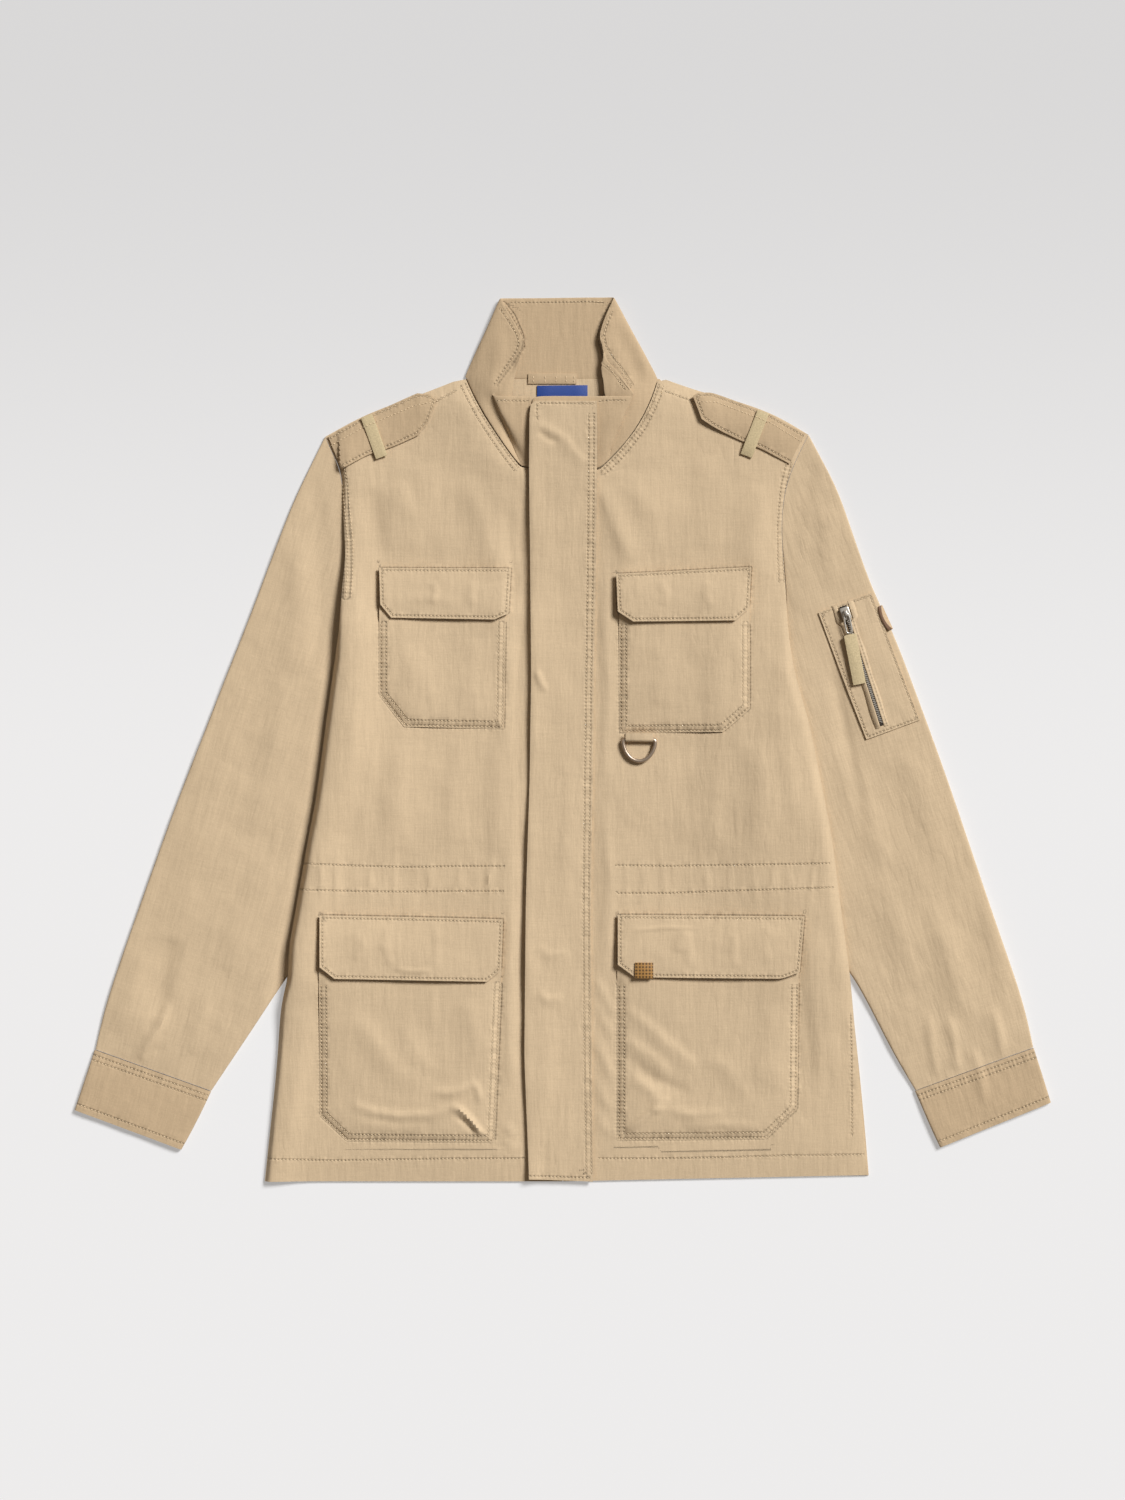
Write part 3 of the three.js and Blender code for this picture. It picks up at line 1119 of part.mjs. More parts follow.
function makeSleevePocket() {
  const pocket = layPiece('sleeve_pocket', MATERIALS.cloth, SLEEVE_POCKET, {
    columns: SLEEVE_POCKET_COLUMNS, step: SLEEVE_POCKET_STEP, wall: CLOTH, below: [leftSleeve],
    loft: (x, y, edge) => SLEEVE_POCKET_LOFT * smooth(edge / SLEEVE_POCKET_EDGE),
    rounds: 3,
  })
  const tapeRow = (d) => {
    const x = ZIP_TOP.x + ZIP_HEADING.x * d
    const y = ZIP_TOP.y + ZIP_HEADING.y * d
    const reach = ZIP_TAPE_WIDTH / 2
    return {
      leftX: x - ZIP_ACROSS.x * reach,
      leftY: y - ZIP_ACROSS.y * reach,
      rightX: x + ZIP_ACROSS.x * reach,
      rightY: y + ZIP_ACROSS.y * reach,
    }
  }
  const tape = layPiece('zip_tape', MATERIALS.darkMetal, [tapeRow(0), tapeRow(ZIP_LENGTH)], {
    columns: evenColumns(3), step: ZIP_STEP, wall: WEBBING_WALL, below: [pocket], reach: ZIP_REACH,
  })
  return [pocket, tape]
}

// Zip slider, its bridge and the pull that hangs from it

const zipBelow = makeSleevePocket()
const onZip = (d, a) => ({
  x: ZIP_TOP.x + ZIP_HEADING.x * d + ZIP_ACROSS.x * a,
  y: ZIP_TOP.y + ZIP_HEADING.y * d + ZIP_ACROSS.y * a,
})

function heightBelow(x, y) {
  return Math.max(...[...zipBelow, leftSleeve].map((surface) => surface.heightAt(x, y)), 0)
}

function sliderSeat() {
  let highest = 0
  for (let d = ZIP_START; d <= ZIP_START + SLIDER_SIZE.long; d += 1) {
    for (let a = -SLIDER_SIZE.wide / 2; a <= SLIDER_SIZE.wide / 2; a += 1) {
      const spot = onZip(d, a)
      highest = Math.max(highest, heightBelow(spot.x, spot.y))
    }
  }
  return highest + SEAM_GAP
}

// Extrudes a profile drawn along the zip and up, across the zip's width
function acrossZip(name, shape, width, base) {
  const geometry = new THREE.ExtrudeGeometry(shape, { depth: width, bevelEnabled: false })
  const along = vector(ZIP_HEADING.x, ZIP_HEADING.y, 0)
  const up = vector(0, 0, 1)
  const across = vector(0, 0, 0).crossVectors(along, up)
  geometry.applyMatrix4(new THREE.Matrix4().makeBasis(along, up, across))
  const mesh = new THREE.Mesh(geometry, MATERIALS.metal)
  mesh.name = name
  mesh.position.set(ZIP_TOP.x, ZIP_TOP.y, base).addScaledVector(across, -width / 2)
  group.add(mesh)
}

function rectangle(fromX, fromY, toX, toY) {
  const shape = new THREE.Shape()
  shape.moveTo(fromX, fromY)
  shape.lineTo(toX, fromY)
  shape.lineTo(toX, toY)
  shape.lineTo(fromX, toY)
  return shape
}

function makeZipPull() {
  const seat = sliderSeat()
  acrossZip('zip_slider', rectangle(ZIP_START, 0, ZIP_START + SLIDER_SIZE.long, SLIDER_SIZE.body),
    SLIDER_SIZE.wide, seat)
  const wire = PULL_LINK.wire
  const tunnel = { long: wire + BRIDGE.play, high: wire + 2 * SEAM_GAP }
  const middle = ZIP_START + SLIDER_SIZE.long / 2
  const foot = SLIDER_SIZE.body + SEAM_GAP
  const half = tunnel.long / 2
  const arch = new THREE.Shape()
  arch.moveTo(middle - half - BRIDGE.wall, foot)
  arch.lineTo(middle - half, foot)
  arch.lineTo(middle - half, foot + tunnel.high)
  arch.lineTo(middle + half, foot + tunnel.high)
  arch.lineTo(middle + half, foot)
  arch.lineTo(middle + half + BRIDGE.wall, foot)
  arch.lineTo(middle + half + BRIDGE.wall, foot + tunnel.high)
  arch.lineTo(middle + half, foot + tunnel.high + BRIDGE.wall)
  arch.lineTo(middle - half, foot + tunnel.high + BRIDGE.wall)
  arch.lineTo(middle - half - BRIDGE.wall, foot + tunnel.high)
  acrossZip('zip_bridge', arch, BRIDGE.wide, seat)

  const hinge = onZip(middle, 0)
  const hingeZ = seat + foot + SEAM_GAP + wire / 2
  const along = vector(PULL_HEADING.x, PULL_HEADING.y, 0)
  const across = vector(-PULL_HEADING.y, PULL_HEADING.x, 0)
  // The pull droops from the bridge until its tab just clears the cloth
  let drop = PULL_DROOP.most
  const clears = (slope) => {
    for (let d = PULL_LINK.long; d <= PULL_LINK.long + PULL_TAB.long; d += 2) {
      for (let a = -PULL_TAB.wide / 2; a <= PULL_TAB.wide / 2; a += 2) {
        const x = hinge.x + along.x * d + across.x * a
        const y = hinge.y + along.y * d + across.y * a
        if (hingeZ - slope * d - PULL_TAB.thick / 2 - heightBelow(x, y) < SEAM_GAP) return false
      }
    }
    for (let d = 0; d <= PULL_LINK.long; d += 1) {
      for (const a of [-wire * 2, 0, wire * 2]) {
        const x = hinge.x + along.x * d + across.x * a
        const y = hinge.y + along.y * d + across.y * a
        const floor = d < SLIDER_SIZE.long / 2 + 1 ? seat + SLIDER_SIZE.body : heightBelow(x, y)
        if (hingeZ - slope * d - wire / 2 - floor < SEAM_GAP * 0.5) return false
      }
    }
    return true
  }
  while (drop > 0 && !clears(drop)) drop -= PULL_DROOP.step
  const down = vector(along.x, along.y, -drop).normalize()
  const up = vector(0, 0, 0).crossVectors(across, down).multiplyScalar(-1)
  const place = new THREE.Matrix4().makeBasis(down, across, up.z > 0 ? up : up.negate())
  place.setPosition(hinge.x, hinge.y, hingeZ)

  const side = BRIDGE.wide / 2 + SEAM_GAP * 2 + wire / 2
  const far = PULL_LINK.long - wire / 2
  const bend = PULL_LINK.bend
  const cut = bend * 0.3
  const link = [
    { x: 0, y: -side }, { x: 0, y: 0 }, { x: 0, y: side }, { x: far - bend, y: side },
    { x: far - cut, y: side - cut }, { x: far, y: side - bend },
    { x: far, y: bend - side }, { x: far - cut, y: cut - side }, { x: far - bend, y: -side },
  ]
  const linkWire = loopTriangles(wireLoop(link, wire / 2, PULL_LINK.sides))
  addMesh('zip_pull_link', MATERIALS.metal,
    linkWire.map((corners) => corners.map((p) => p.clone().applyMatrix4(place))))

  const tab = new THREE.Shape()
  const start = PULL_LINK.long + SEAM_GAP
  const end = start + PULL_TAB.long
  const wide = PULL_TAB.wide / 2
  tab.moveTo(start + PULL_TAB.corner, -wide)
  tab.lineTo(end, -wide)
  tab.lineTo(end, wide)
  tab.lineTo(start + PULL_TAB.corner, wide)
  tab.quadraticCurveTo(start, wide, start, wide - PULL_TAB.shoulder)
  tab.lineTo(start, PULL_TAB.shoulder - wide)
  tab.quadraticCurveTo(start, -wide, start + PULL_TAB.corner, -wide)
  const tabGeometry = new THREE.ExtrudeGeometry(tab, {
    depth: PULL_TAB.thick, bevelEnabled: false, curveSegments: 4,
  })
  tabGeometry.translate(0, 0, -PULL_TAB.thick / 2)
  tabGeometry.applyMatrix4(place)
  const mesh = new THREE.Mesh(tabGeometry, MATERIALS.webbing)
  mesh.name = 'zip_pull_tab'
  group.add(mesh)
}

makeZipPull()

// The badge is sewn over the left sleeve's outer fold
function makeBadge() {
  const fold = LEFT_SLEEVE.map((ring) => vector(ring.outerX, ring.outerY, 0))
  const near = fold.findIndex((p) => p.y < BADGE_MIDDLE.y)
  const heading = vector(0, 0, 0).subVectors(fold[near], fold[near - 1]).normalize()
  const inward = vector(heading.y, -heading.x, 0)
  const radius = CLOTH + BADGE.roll
  const lay = (off) => Array.from({ length: BADGE.stations }, (_, i) => {
    const t = (2 * i) / (BADGE.stations - 1) - 1
    const d = (t * BADGE.width) / 2
    const share = Math.sqrt(Math.max(BADGE_TIP, 1 - t * t))
    const edge = vector(BADGE_MIDDLE.x, BADGE_MIDDLE.y, 0).addScaledVector(heading, d)
    const over = share * BADGE.onTop
    const centre = edge.clone().addScaledVector(inward, radius)
    const points = []
    for (const k of [1, 0.5]) {
      const p = edge.clone().addScaledVector(inward, radius + over * k)
      const reach = BADGE.seat
      const seat = highestIn([leftSleeve, zipBelow[0]], p.x - reach, p.x + reach, p.y - reach, p.y + reach)
      p.z = Math.max(seat, 2 * radius) + off
      points.push(p)
    }
    for (const turn of [...BADGE_TURNS, -BADGE_BELOW * share]) {
      const angle = (turn * Math.PI) / 2
      const p = centre.clone().addScaledVector(inward, -(radius + off) * Math.cos(angle))
      p.z = radius + (radius + off) * Math.sin(angle)
      points.push(p)
    }
    return points
  })
  addMesh('sleeve_badge', MATERIALS.badge, wallTriangles(lay(BADGE.under + BADGE.thick), lay(BADGE.under)))
}

makeBadge()

// Inside the neck
layPiece('neck_label', MATERIALS.label, NECK_LABEL, {
  columns: evenColumns(5), step: 10, wall: 1, below: [back], reach: 8,
})
layPiece('hanger_loop', MATERIALS.cloth, HANGER_LOOP, {
  columns: evenColumns(6), step: 6, wall: 1, below: [collar, back], reach: 3,
})

export default group
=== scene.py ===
"""A sand cotton safari jacket, laid flat: its looks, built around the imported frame."""

import json
import math

import bmesh
import bpy
import numpy as np
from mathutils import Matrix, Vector
from mathutils.bvhtree import BVHTree


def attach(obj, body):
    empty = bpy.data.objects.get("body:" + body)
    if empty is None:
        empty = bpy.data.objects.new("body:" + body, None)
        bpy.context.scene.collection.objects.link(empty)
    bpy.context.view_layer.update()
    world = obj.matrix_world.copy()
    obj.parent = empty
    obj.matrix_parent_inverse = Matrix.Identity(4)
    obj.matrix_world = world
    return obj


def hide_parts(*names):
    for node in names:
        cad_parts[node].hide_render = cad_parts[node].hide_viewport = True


bl_info = {
    "name": "Safari jacket",
    "version": (1, 0, 0),
    "blender": (4, 5, 0),
    "location": "3D View > Sidebar > Jacket",
    "description": "Builds the looks of a laid-out safari jacket",
    "category": "Object",
}

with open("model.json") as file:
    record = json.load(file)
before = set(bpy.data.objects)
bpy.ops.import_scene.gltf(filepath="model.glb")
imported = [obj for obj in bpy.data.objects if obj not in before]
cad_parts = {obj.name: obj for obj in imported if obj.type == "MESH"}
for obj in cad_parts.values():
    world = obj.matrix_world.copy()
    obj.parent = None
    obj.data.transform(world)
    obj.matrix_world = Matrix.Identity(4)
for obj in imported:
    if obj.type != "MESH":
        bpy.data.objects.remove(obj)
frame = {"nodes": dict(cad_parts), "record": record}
NODES = frame["nodes"]
MM = 0.001
# Turn of the sleeves from the body's long direction
SLEEVE_TURN = math.radians(16.1)


def creases(*rows):
    """Creases from rows of a height, the spread to the line's left and to its right, and the line."""
    return [{"height": high, "left": left, "right": right, "line": line} for high, left, right, line in rows]



# Stitched lines in millimetres, seen from above. A line with rows 2 is stitched twice.
BODY_SEAMS = {
    "front_right": [
        {"rows": 2, "line": [(-210.0, 260.0), (-206.6, 240.8), (-204.2, 214.2), (-201.4, 188.6), (-201.6, 158.2),
                             (-203.0, 134.0)]},
        {"rows": 1, "line": [(-280.1, -397.6), (-221.2, -399.5), (-154.7, -398.5), (-97.7, -397.6), (-38.0, -397.6)]},
        {"rows": 1, "line": [(-242.1, -117.3), (-192.7, -119.7), (-145.2, -121.1), (-97.7, -120.2), (-55.9, -120.2)]},
        {"rows": 1, "line": [(-245.9, -142.0), (-192.7, -143.9), (-145.2, -144.5), (-97.7, -143.9), (-55.9, -143.9)]},
        {"rows": 2, "inset": 4.2, "line": [(-41.0, 258.9), (-52.0, 273.0), (-61.6, 286.9), (-72.0, 302.6),
                                           (-78.8, 314.0), (-87.0, 330.0), (-91.0, 338.5)]},
        {"rows": 1, "line": [(-221.2, 277.9), (-190.8, 295.0), (-164.2, 306.4), (-139.5, 316.8), (-121.3, 319.8),
                             (-101.6, 331.0)]},
    ],
    "front_left": [
        {"rows": 2, "line": [(214.4, 262.0), (209.3, 240.0), (206.2, 204.7), (206.6, 168.6), (207.6, 148.0)]},
        {"rows": 1, "line": [(34.5, -397.6), (92.3, -397.6), (149.3, -396.6), (215.8, -394.7), (286.0, -393.8)]},
        {"rows": 1, "line": [(49.6, -119.2), (101.8, -120.2), (149.3, -119.2), (206.3, -118.3), (252.8, -117.3)]},
        {"rows": 1, "line": [(52.1, -145.8), (101.8, -145.8), (149.3, -143.9), (206.3, -142.0), (256.6, -140.1)]},
        {"rows": 2, "inset": -4.2, "line": [(35.3, 256.0), (48.0, 268.0), (60.0, 281.7), (72.0, 297.8),
                                            (80.9, 314.9), (86.0, 327.0), (89.4, 337.5)]},
        {"rows": 1, "line": [(97.2, 330.1), (124.6, 320.1), (145.5, 319.7), (183.5, 305.4), (197.8, 299.7),
                             (226.2, 282.7)]},
        {"rows": 1, "line": [(273.0, -262.0), (273.8, -295.0), (274.2, -342.5), (274.5, -376.0)]},
    ],
    "back_panel": [
        {"rows": 1, "line": [(-270.0, -398.0), (-140.0, -398.5), (0.0, -398.5), (140.0, -398.0), (278.0, -395.0)]},
        {"rows": 1, "line": [(-236.0, -119.0), (-120.0, -121.0), (0.0, -121.0), (120.0, -121.0), (248.0, -117.0)]},
        {"rows": 1, "line": [(-240.0, -145.0), (-120.0, -146.0), (0.0, -146.0), (120.0, -146.0), (252.0, -141.0)]},
        {"rows": 2, "line": [(-196.0, 214.0), (-100.0, 209.0), (0.0, 207.0), (100.0, 209.0), (202.0, 212.0)]},
    ],
}
COLLAR_SEAMS = [
    {"rows": 1, "line": [(-49.0, 415.0), (-4.0, 415.3), (39.0, 415.7)]},
    {"rows": 1, "line": [(-60.0, 409.0), (-51.6, 396.6), (-44.2, 384.6), (-41.7, 376.2), (-43.9, 368.2),
                         (-52.5, 355.6), (-65.0, 336.2)]},
    {"rows": 1, "line": [(46.9, 405.6), (41.6, 393.2), (38.8, 382.2), (40.8, 372.6), (50.0, 360.0), (59.2, 347.0),
                         (66.6, 336.0)]},
    {"rows": 1, "line": [(42.2, 355.0), (51.4, 342.0), (58.6, 331.4)]},
    {"rows": 1, "line": [(-62.0, 320.8), (-33.5, 320.6)]},
    {"rows": 1, "line": [(34.0, 320.6), (60.0, 320.8)]},
]

# Outlines that a piece is stitched along, from its first corner to its last, with the inset of the rows
EDGE_SEAMS = {
    "chest_pocket_right": {"inset": 4.1, "rows": 2, "line": [
        (-173.8, 110.0), (-173.8, 42.0), (-150.3, 12.0), (-55.9, 10.0), (-54.2, 110.0)]},
    "chest_pocket_left": {"inset": 4.1, "rows": 2, "line": [
        (53.4, 108.0), (53.4, 6.2), (151.6, 7.1), (177.0, 29.0), (177.0, 110.0)]},
    "lower_pocket_right": {"inset": 4.1, "rows": 2, "line": [
        (-230.7, -232.0), (-230.7, -356.7), (-205.0, -381.1), (-64.6, -382.4), (-58.0, -232.0)]},
    "lower_pocket_left": {"inset": 4.1, "rows": 2, "line": [
        (51.5, -232.0), (51.5, -380.5), (193.0, -379.1), (222.2, -350.8), (223.4, -232.0)]},
    "chest_flap_right": {"inset": 2.4, "rows": 1, "closed": True, "line": [
        (-173.9, 162.5), (-172.7, 127.8), (-162.4, 115.2), (-64.4, 113.5), (-51.5, 119.2), (-49.2, 162.0)]},
    "chest_flap_left": {"inset": 2.4, "rows": 1, "closed": True, "line": [
        (50.5, 156.8), (52.1, 121.1), (66.6, 111.6), (163.3, 112.6), (176.3, 124.0), (178.5, 163.3)]},
    "lower_flap_right": {"inset": 2.4, "rows": 1, "closed": True, "line": [
        (-229.7, -166.3), (-229.7, -215.2), (-215.8, -226.3), (-72.0, -229.4), (-58.8, -219.0), (-56.8, -170.5)]},
    "lower_flap_left": {"inset": 2.4, "rows": 1, "closed": True, "line": [
        (52.1, -166.3), (52.1, -213.3), (68.4, -225.2), (208.0, -226.4), (224.0, -220.0), (228.7, -167.5)]},
    "epaulette_right": {"inset": 2.6, "rows": 1, "line": [
        (-210.0, 256.0), (-183.2, 270.6), (-161.0, 277.4), (-137.3, 288.3), (-126.9, 300.7), (-119.6, 322.0),
        (-125.6, 327.0), (-138.0, 328.2), (-150.0, 323.0), (-164.2, 316.6), (-189.0, 306.2), (-222.5, 287.5)]},
    "epaulette_left": {"inset": -2.6, "rows": 1, "line": [
        (215.2, 261.5), (187.1, 276.4), (171.8, 281.9), (158.3, 288.3), (143.6, 295.4), (131.5, 303.5),
        (123.2, 325.4), (128.0, 328.4), (141.0, 328.8), (151.5, 325.4), (166.0, 320.2), (181.0, 314.6),
        (195.5, 309.2), (229.5, 290.0)]},
    "sleeve_pocket": {"inset": 2.0, "rows": 1, "closed": True, "line": [
        (242.4, 120.2), (287.9, 0.0), (338.5, 18.5), (292.5, 139.0)]},
}
STITCHED_LINES = {
    "placket": [
        {"rows": 2, "line": [(27.0, 308.0), (26.0, 170.0), (24.4, 60.0), (23.2, -40.0), (22.0, -150.0), (22.8, -300.0),
                             (24.6, -412.0)]},
        {"rows": 1, "line": [(-34.0, -413.5), (26.0, -415.8)]},
        {"rows": 1, "line": [(-24.5, 319.0), (-24.5, 303.0)]},
        {"rows": 1, "line": [(-24.5, 318.0), (30.0, 317.5)]},
    ],
    "collar": COLLAR_SEAMS,
    "zip_lips": [
        {"rows": 1, "line": [(269.0, 135.0), (269.8, 128.0), (275.4, 111.0), (309.6, 6.0)]},
    ],
    "hanger_loop": [{"rows": 1, "line": [(x, 339.0), (x, 346.0)]} for x in (-28.0, -17.0, -6.5, 3.0, 10.5)],
    "cuff_right": [
        {"rows": 2, "line": [(-447.5, -301.0), (-337.0, -340.5)]},
        {"rows": 1, "line": [(-461.4, -345.5), (-359.6, -383.6)]},
    ],
    "cuff_left": [
        {"rows": 2, "line": [(449.6, -299.0), (337.4, -340.0)]},
        {"rows": 1, "line": [(461.4, -338.8), (356.0, -381.6)]},
    ],
}

# All listed creases are made higher by this factor
CREASE_GAIN = 1.3
# Pieces whose outlines press a ditch into the piece below, and the free edges of the collar's wings; along both runs a
# slight dip with painted shade in it
SHADED_DITCHES = {
    "front_right": ["chest_pocket_right", "lower_pocket_right", "chest_flap_right", "lower_flap_right"],
    "front_left": ["chest_pocket_left", "lower_pocket_left", "chest_flap_left", "lower_flap_left"],
}
DITCH_OFFSET = -0.2
SHADED_WING_EDGES = [
    [(-56.2, 416.4), (-46.0, 402.7), (-38.0, 384.5), (-36.9, 373.1), (-48.3, 354.8), (-63.1, 334.3)],
    [(45.0, 414.0), (36.0, 396.0), (33.4, 381.0), (38.6, 363.4), (49.8, 346.7), (63.0, 331.5)],
]

# Creases in millimetres
BODY_CREASES = creases(
    (1.1, 10, 18, [(-92, 250), (-72, 190), (-60, 150)]),
    (1.0, 18, 12, [(-132, 262), (-126, 215), (-112, 176)]),
    (-1.2, 9, 14, [(-182, 238), (-176, 200), (-172, 170)]),
    (0.9, 8, 15, [(-158, 246), (-142, 210), (-138, 176)]),
    (-1.4, 7, 8, [(-54, 226), (-46, 178), (-44, 120)]),
    (0.8, 3, 3, [(-46, 196), (-41, 150), (-43, 110)]),
    (1.1, 7, 8, [(-60, 150), (-54, 60), (-56, -40)]),
    (1.2, 14, 10, [(-190, 60), (-198, -20), (-210, -90)]),
    (0.9, 16, 11, [(-100, 2), (-106, -50), (-104, -100)]),
    (0.8, 10, 15, [(-150, -4), (-158, -60), (-152, -108)]),
    (0.8, 9, 9, [(-66, -4), (-60, -60), (-66, -110)]),
    (0.6, 5, 6, [(-178, 0), (-184, -50), (-190, -104)]),
    (1.2, 12, 6, [(36, 240), (52, 196), (66, 166)]),
    (0.9, 10, 14, [(62, 250), (84, 215), (92, 176)]),
    (1.0, 18, 12, [(132, 268), (140, 226), (136, 178)]),
    (0.9, 12, 16, [(186, 244), (182, 200), (186, 150)]),
    (1.1, 7, 5, [(38, 158), (43, 60), (40, -40)]),
    (0.9, 5, 6, [(40, -60), (44, -130), (41, -230)]),
    (1.2, 2.6, 4.2, [(32, -226), (38, -238), (48, -262)]),
    (0.8, 2.6, 4, [(32, -250), (40, -268), (49, -284)]),
    (1.3, 2.8, 4.4, [(32, -286), (40, -304), (48, -322)]),
    (1.0, 2.6, 4, [(32, -322), (38, -340), (48, -352)]),
    (0.9, 2.6, 4, [(32, -352), (38, -366), (50, -376)]),
    (0.9, 9, 12, [(110, -12), (96, -44), (64, -84)]),
    (0.8, 9, 14, [(150, -10), (142, -60), (146, -108)]),
    (1.0, 14, 10, [(182, 0), (190, -50), (186, -104)]),
    (0.9, 12, 10, [(204, 56), (214, -20), (228, -96)]),
    (1.0, 6, 5, [(-48, -150), (-52, -240), (-49, -330)]),
    (1.5, 2.4, 3, [(-55, -366), (-50, -372), (-42, -376)]),
    (1.1, 2.4, 3, [(-58, -378), (-48, -386), (-40, -384)]),
    (0.8, 2.4, 3, [(-70, -389), (-56, -392), (-42, -388)]),
    (0.5, 9, 9, [(-150, -386), (-146, -400), (-152, -414)]),
    (0.8, 9, 8, [(-242, -250), (-250, -320), (-262, -390)]),
    (0.9, 9, 12, [(238, -150), (246, -240), (256, -330)]),
    (0.6, 6, 6, [(232, -180), (238, -260), (246, -340)]),
    (0.7, 3, 7, [(-26, 300), (-12, 294), (3, 284), (13, 270), (26, 258)]),
    (-0.9, 3, 3, [(-24, 292), (-12, 284), (-4, 282)]),
    (1.1, 2.4, 4, [(-25, 66), (-21, 56), (-16, 46)]),
    (0.5, 10, 12, [(-18, 214), (-20, 120), (-14, 40)]),
    (0.5, 12, 9, [(8, -20), (4, -110), (10, -190)]),
    (0.8, 3, 5, [(-24, -238), (-14, -246), (0, -244)]),
    (0.6, 3, 6, [(-24, -196), (-12, -204), (6, -200)]),
    (0.6, 9, 12, [(-20, -230), (-14, -300), (-22, -370)]),
)
# Where small gathers cross the waist's casing
WAIST_GATHERS = [-228, -214, -196, -183, -160, -139, -126, -98, -83, -70,
                 60, 78, 96, 121, 137, 158, 181, 199, 214, 236]
POCKET_CREASES = creases(
    (2.4, 1.8, 4, [(-106, -346), (-96, -351), (-87, -360), (-74, -376)]),
    (-1.2, 2, 2.4, [(-100, -357), (-91, -364), (-82, -374)]),
    (1.3, 2.6, 5, [(-124, -334), (-104, -334), (-84, -326)]),
    (1.1, 2.4, 3.4, [(-86, -322), (-80, -332), (-78, -344)]),
    (1.2, 3, 6, [(-203, -343), (-180, -352), (-156, -356), (-124, -355), (-102, -346)]),
    (0.6, 4, 7, [(-196, -362), (-160, -368), (-128, -367)]),
    (0.8, 8, 12, [(-200, -258), (-176, -290), (-156, -315), (-128, -328)]),
    (0.7, 6, 12, [(-150, -264), (-140, -292), (-122, -316)]),
    (0.5, 1.6, 3, [(-122, -232), (-124, -256), (-124, -276)]),
    (0.6, 8, 10, [(-92, -246), (-84, -272), (-72, -300)]),
    (1.0, 4, 10, [(59, -254), (80, -270), (100, -288), (130, -312)]),
    (0.8, 4, 8, [(58, -282), (84, -300), (104, -318)]),
    (1.6, 3, 4, [(60, -372), (72, -362), (84, -352), (98, -348)]),
    (1.2, 2.6, 4, [(84, -352), (94, -342), (100, -338)]),
    (1.0, 4, 6, [(98, -350), (124, -356), (152, -352)]),
    (0.7, 4, 6, [(112, -366), (150, -364), (188, -367)]),
    (-1.0, 5, 6, [(62, -302), (86, -322), (122, -336)]),
    (0.9, 4, 7, [(66, -320), (84, -332), (92, -346)]),
    (0.6, 8, 8, [(136, -300), (160, -316), (172, -340)]),
    (0.7, 12, 10, [(196, -250), (198, -290), (188, -330)]),
    (0.7, 3, 3, [(120, -178), (119, -196), (121, -216)]),
    (0.7, 3, 3, [(161, -182), (161, -200), (163, -217)]),
    (0.8, 4, 5, [(116, -180), (112, -190), (110, -202)]),
    (0.5, 6, 9, [(196, -176), (190, -196), (196, -212)]),
    (0.5, 1.6, 1.8, [(66, -181), (100, -178), (130, -179)]),
    (0.6, 2.4, 3.4, [(-165, -174), (-168, -194), (-163, -214)]),
    (0.6, 2.4, 3, [(-120, -172), (-119, -196), (-120, -218)]),
    (0.5, 2, 3, [(-158, -217), (-142, -219), (-124, -218)]),
    (0.5, 6, 8, [(-196, -180), (-190, -196), (-194, -210)]),
    (0.7, 2.6, 4, [(-122, 150), (-120, 140), (-124, 128)]),
    (0.5, 5, 7, [(-160, 130), (-130, 134), (-100, 130)]),
    (0.5, 4, 5, [(-84, 150), (-88, 138), (-84, 126)]),
    (0.6, 4, 6, [(92, 152), (98, 138), (94, 126)]),
    (0.5, 4, 6, [(140, 150), (136, 138), (142, 124)]),
    (0.6, 12, 14, [(-150, 90), (-138, 60), (-130, 34)]),
    (0.6, 10, 12, [(-84, 96), (-90, 66), (-84, 36)]),
    (0.6, 12, 9, [(86, 96), (96, 62), (90, 30)]),
    (0.6, 9, 13, [(140, 92), (146, 62), (138, 34)]),
)
SLEEVE_CREASES = creases(
    (-1.3, 8, 9, [(-236, 250), (-226, 190), (-226, 130), (-234, 60)]),
    (1.1, 16, 10, [(-254, 200), (-250, 130), (-258, 60)]),
    (1.0, 20, 12, [(-262, 60), (-276, -20), (-296, -90)]),
    (0.8, 14, 22, [(-312, 20), (-336, -60), (-350, -130)]),
    (0.8, 16, 12, [(-280, -110), (-302, -170), (-318, -220)]),
    (-1.6, 9, 14, [(-370, -188), (-380, -225), (-385, -264)]),
    (1.6, 2.4, 6, [(-372, -250), (-382, -274), (-396, -296), (-400, -306)]),
    (0.6, 8, 10, [(-400, -196), (-412, -240), (-424, -280)]),
    (0.6, 9, 8, [(-338, -236), (-346, -270), (-352, -300)]),
    (-1.5, 7, 8, [(236, 262), (229, 236), (223, 212), (220, 196)]),
    (0.9, 12, 9, [(254, 220), (250, 180), (256, 146)]),
    (-1.2, 6, 7, [(253, 76), (262, 38), (274, -20), (288, -86)]),
    (0.9, 9, 14, [(268, 0), (286, -62), (306, -120)]),
    (0.9, 16, 12, [(322, -6), (344, -70), (366, -130)]),
    (1.0, 12, 14, [(300, -130), (322, -190), (334, -240)]),
    (1.1, 12, 9, [(346, -150), (366, -204), (380, -262)]),
    (0.9, 4, 7, [(388, -290), (396, -318), (402, -346)]),
    (0.8, 10, 9, [(398, -150), (410, -200), (424, -262)]),
    (1.0, 4, 5, [(366, -262), (372, -288), (374, -314)]),
    (0.8, 5, 4, [(346, -262), (350, -290), (354, -320)]),
    (0.9, 4, 5, [(408, -254), (414, -280), (418, -302)]),
)
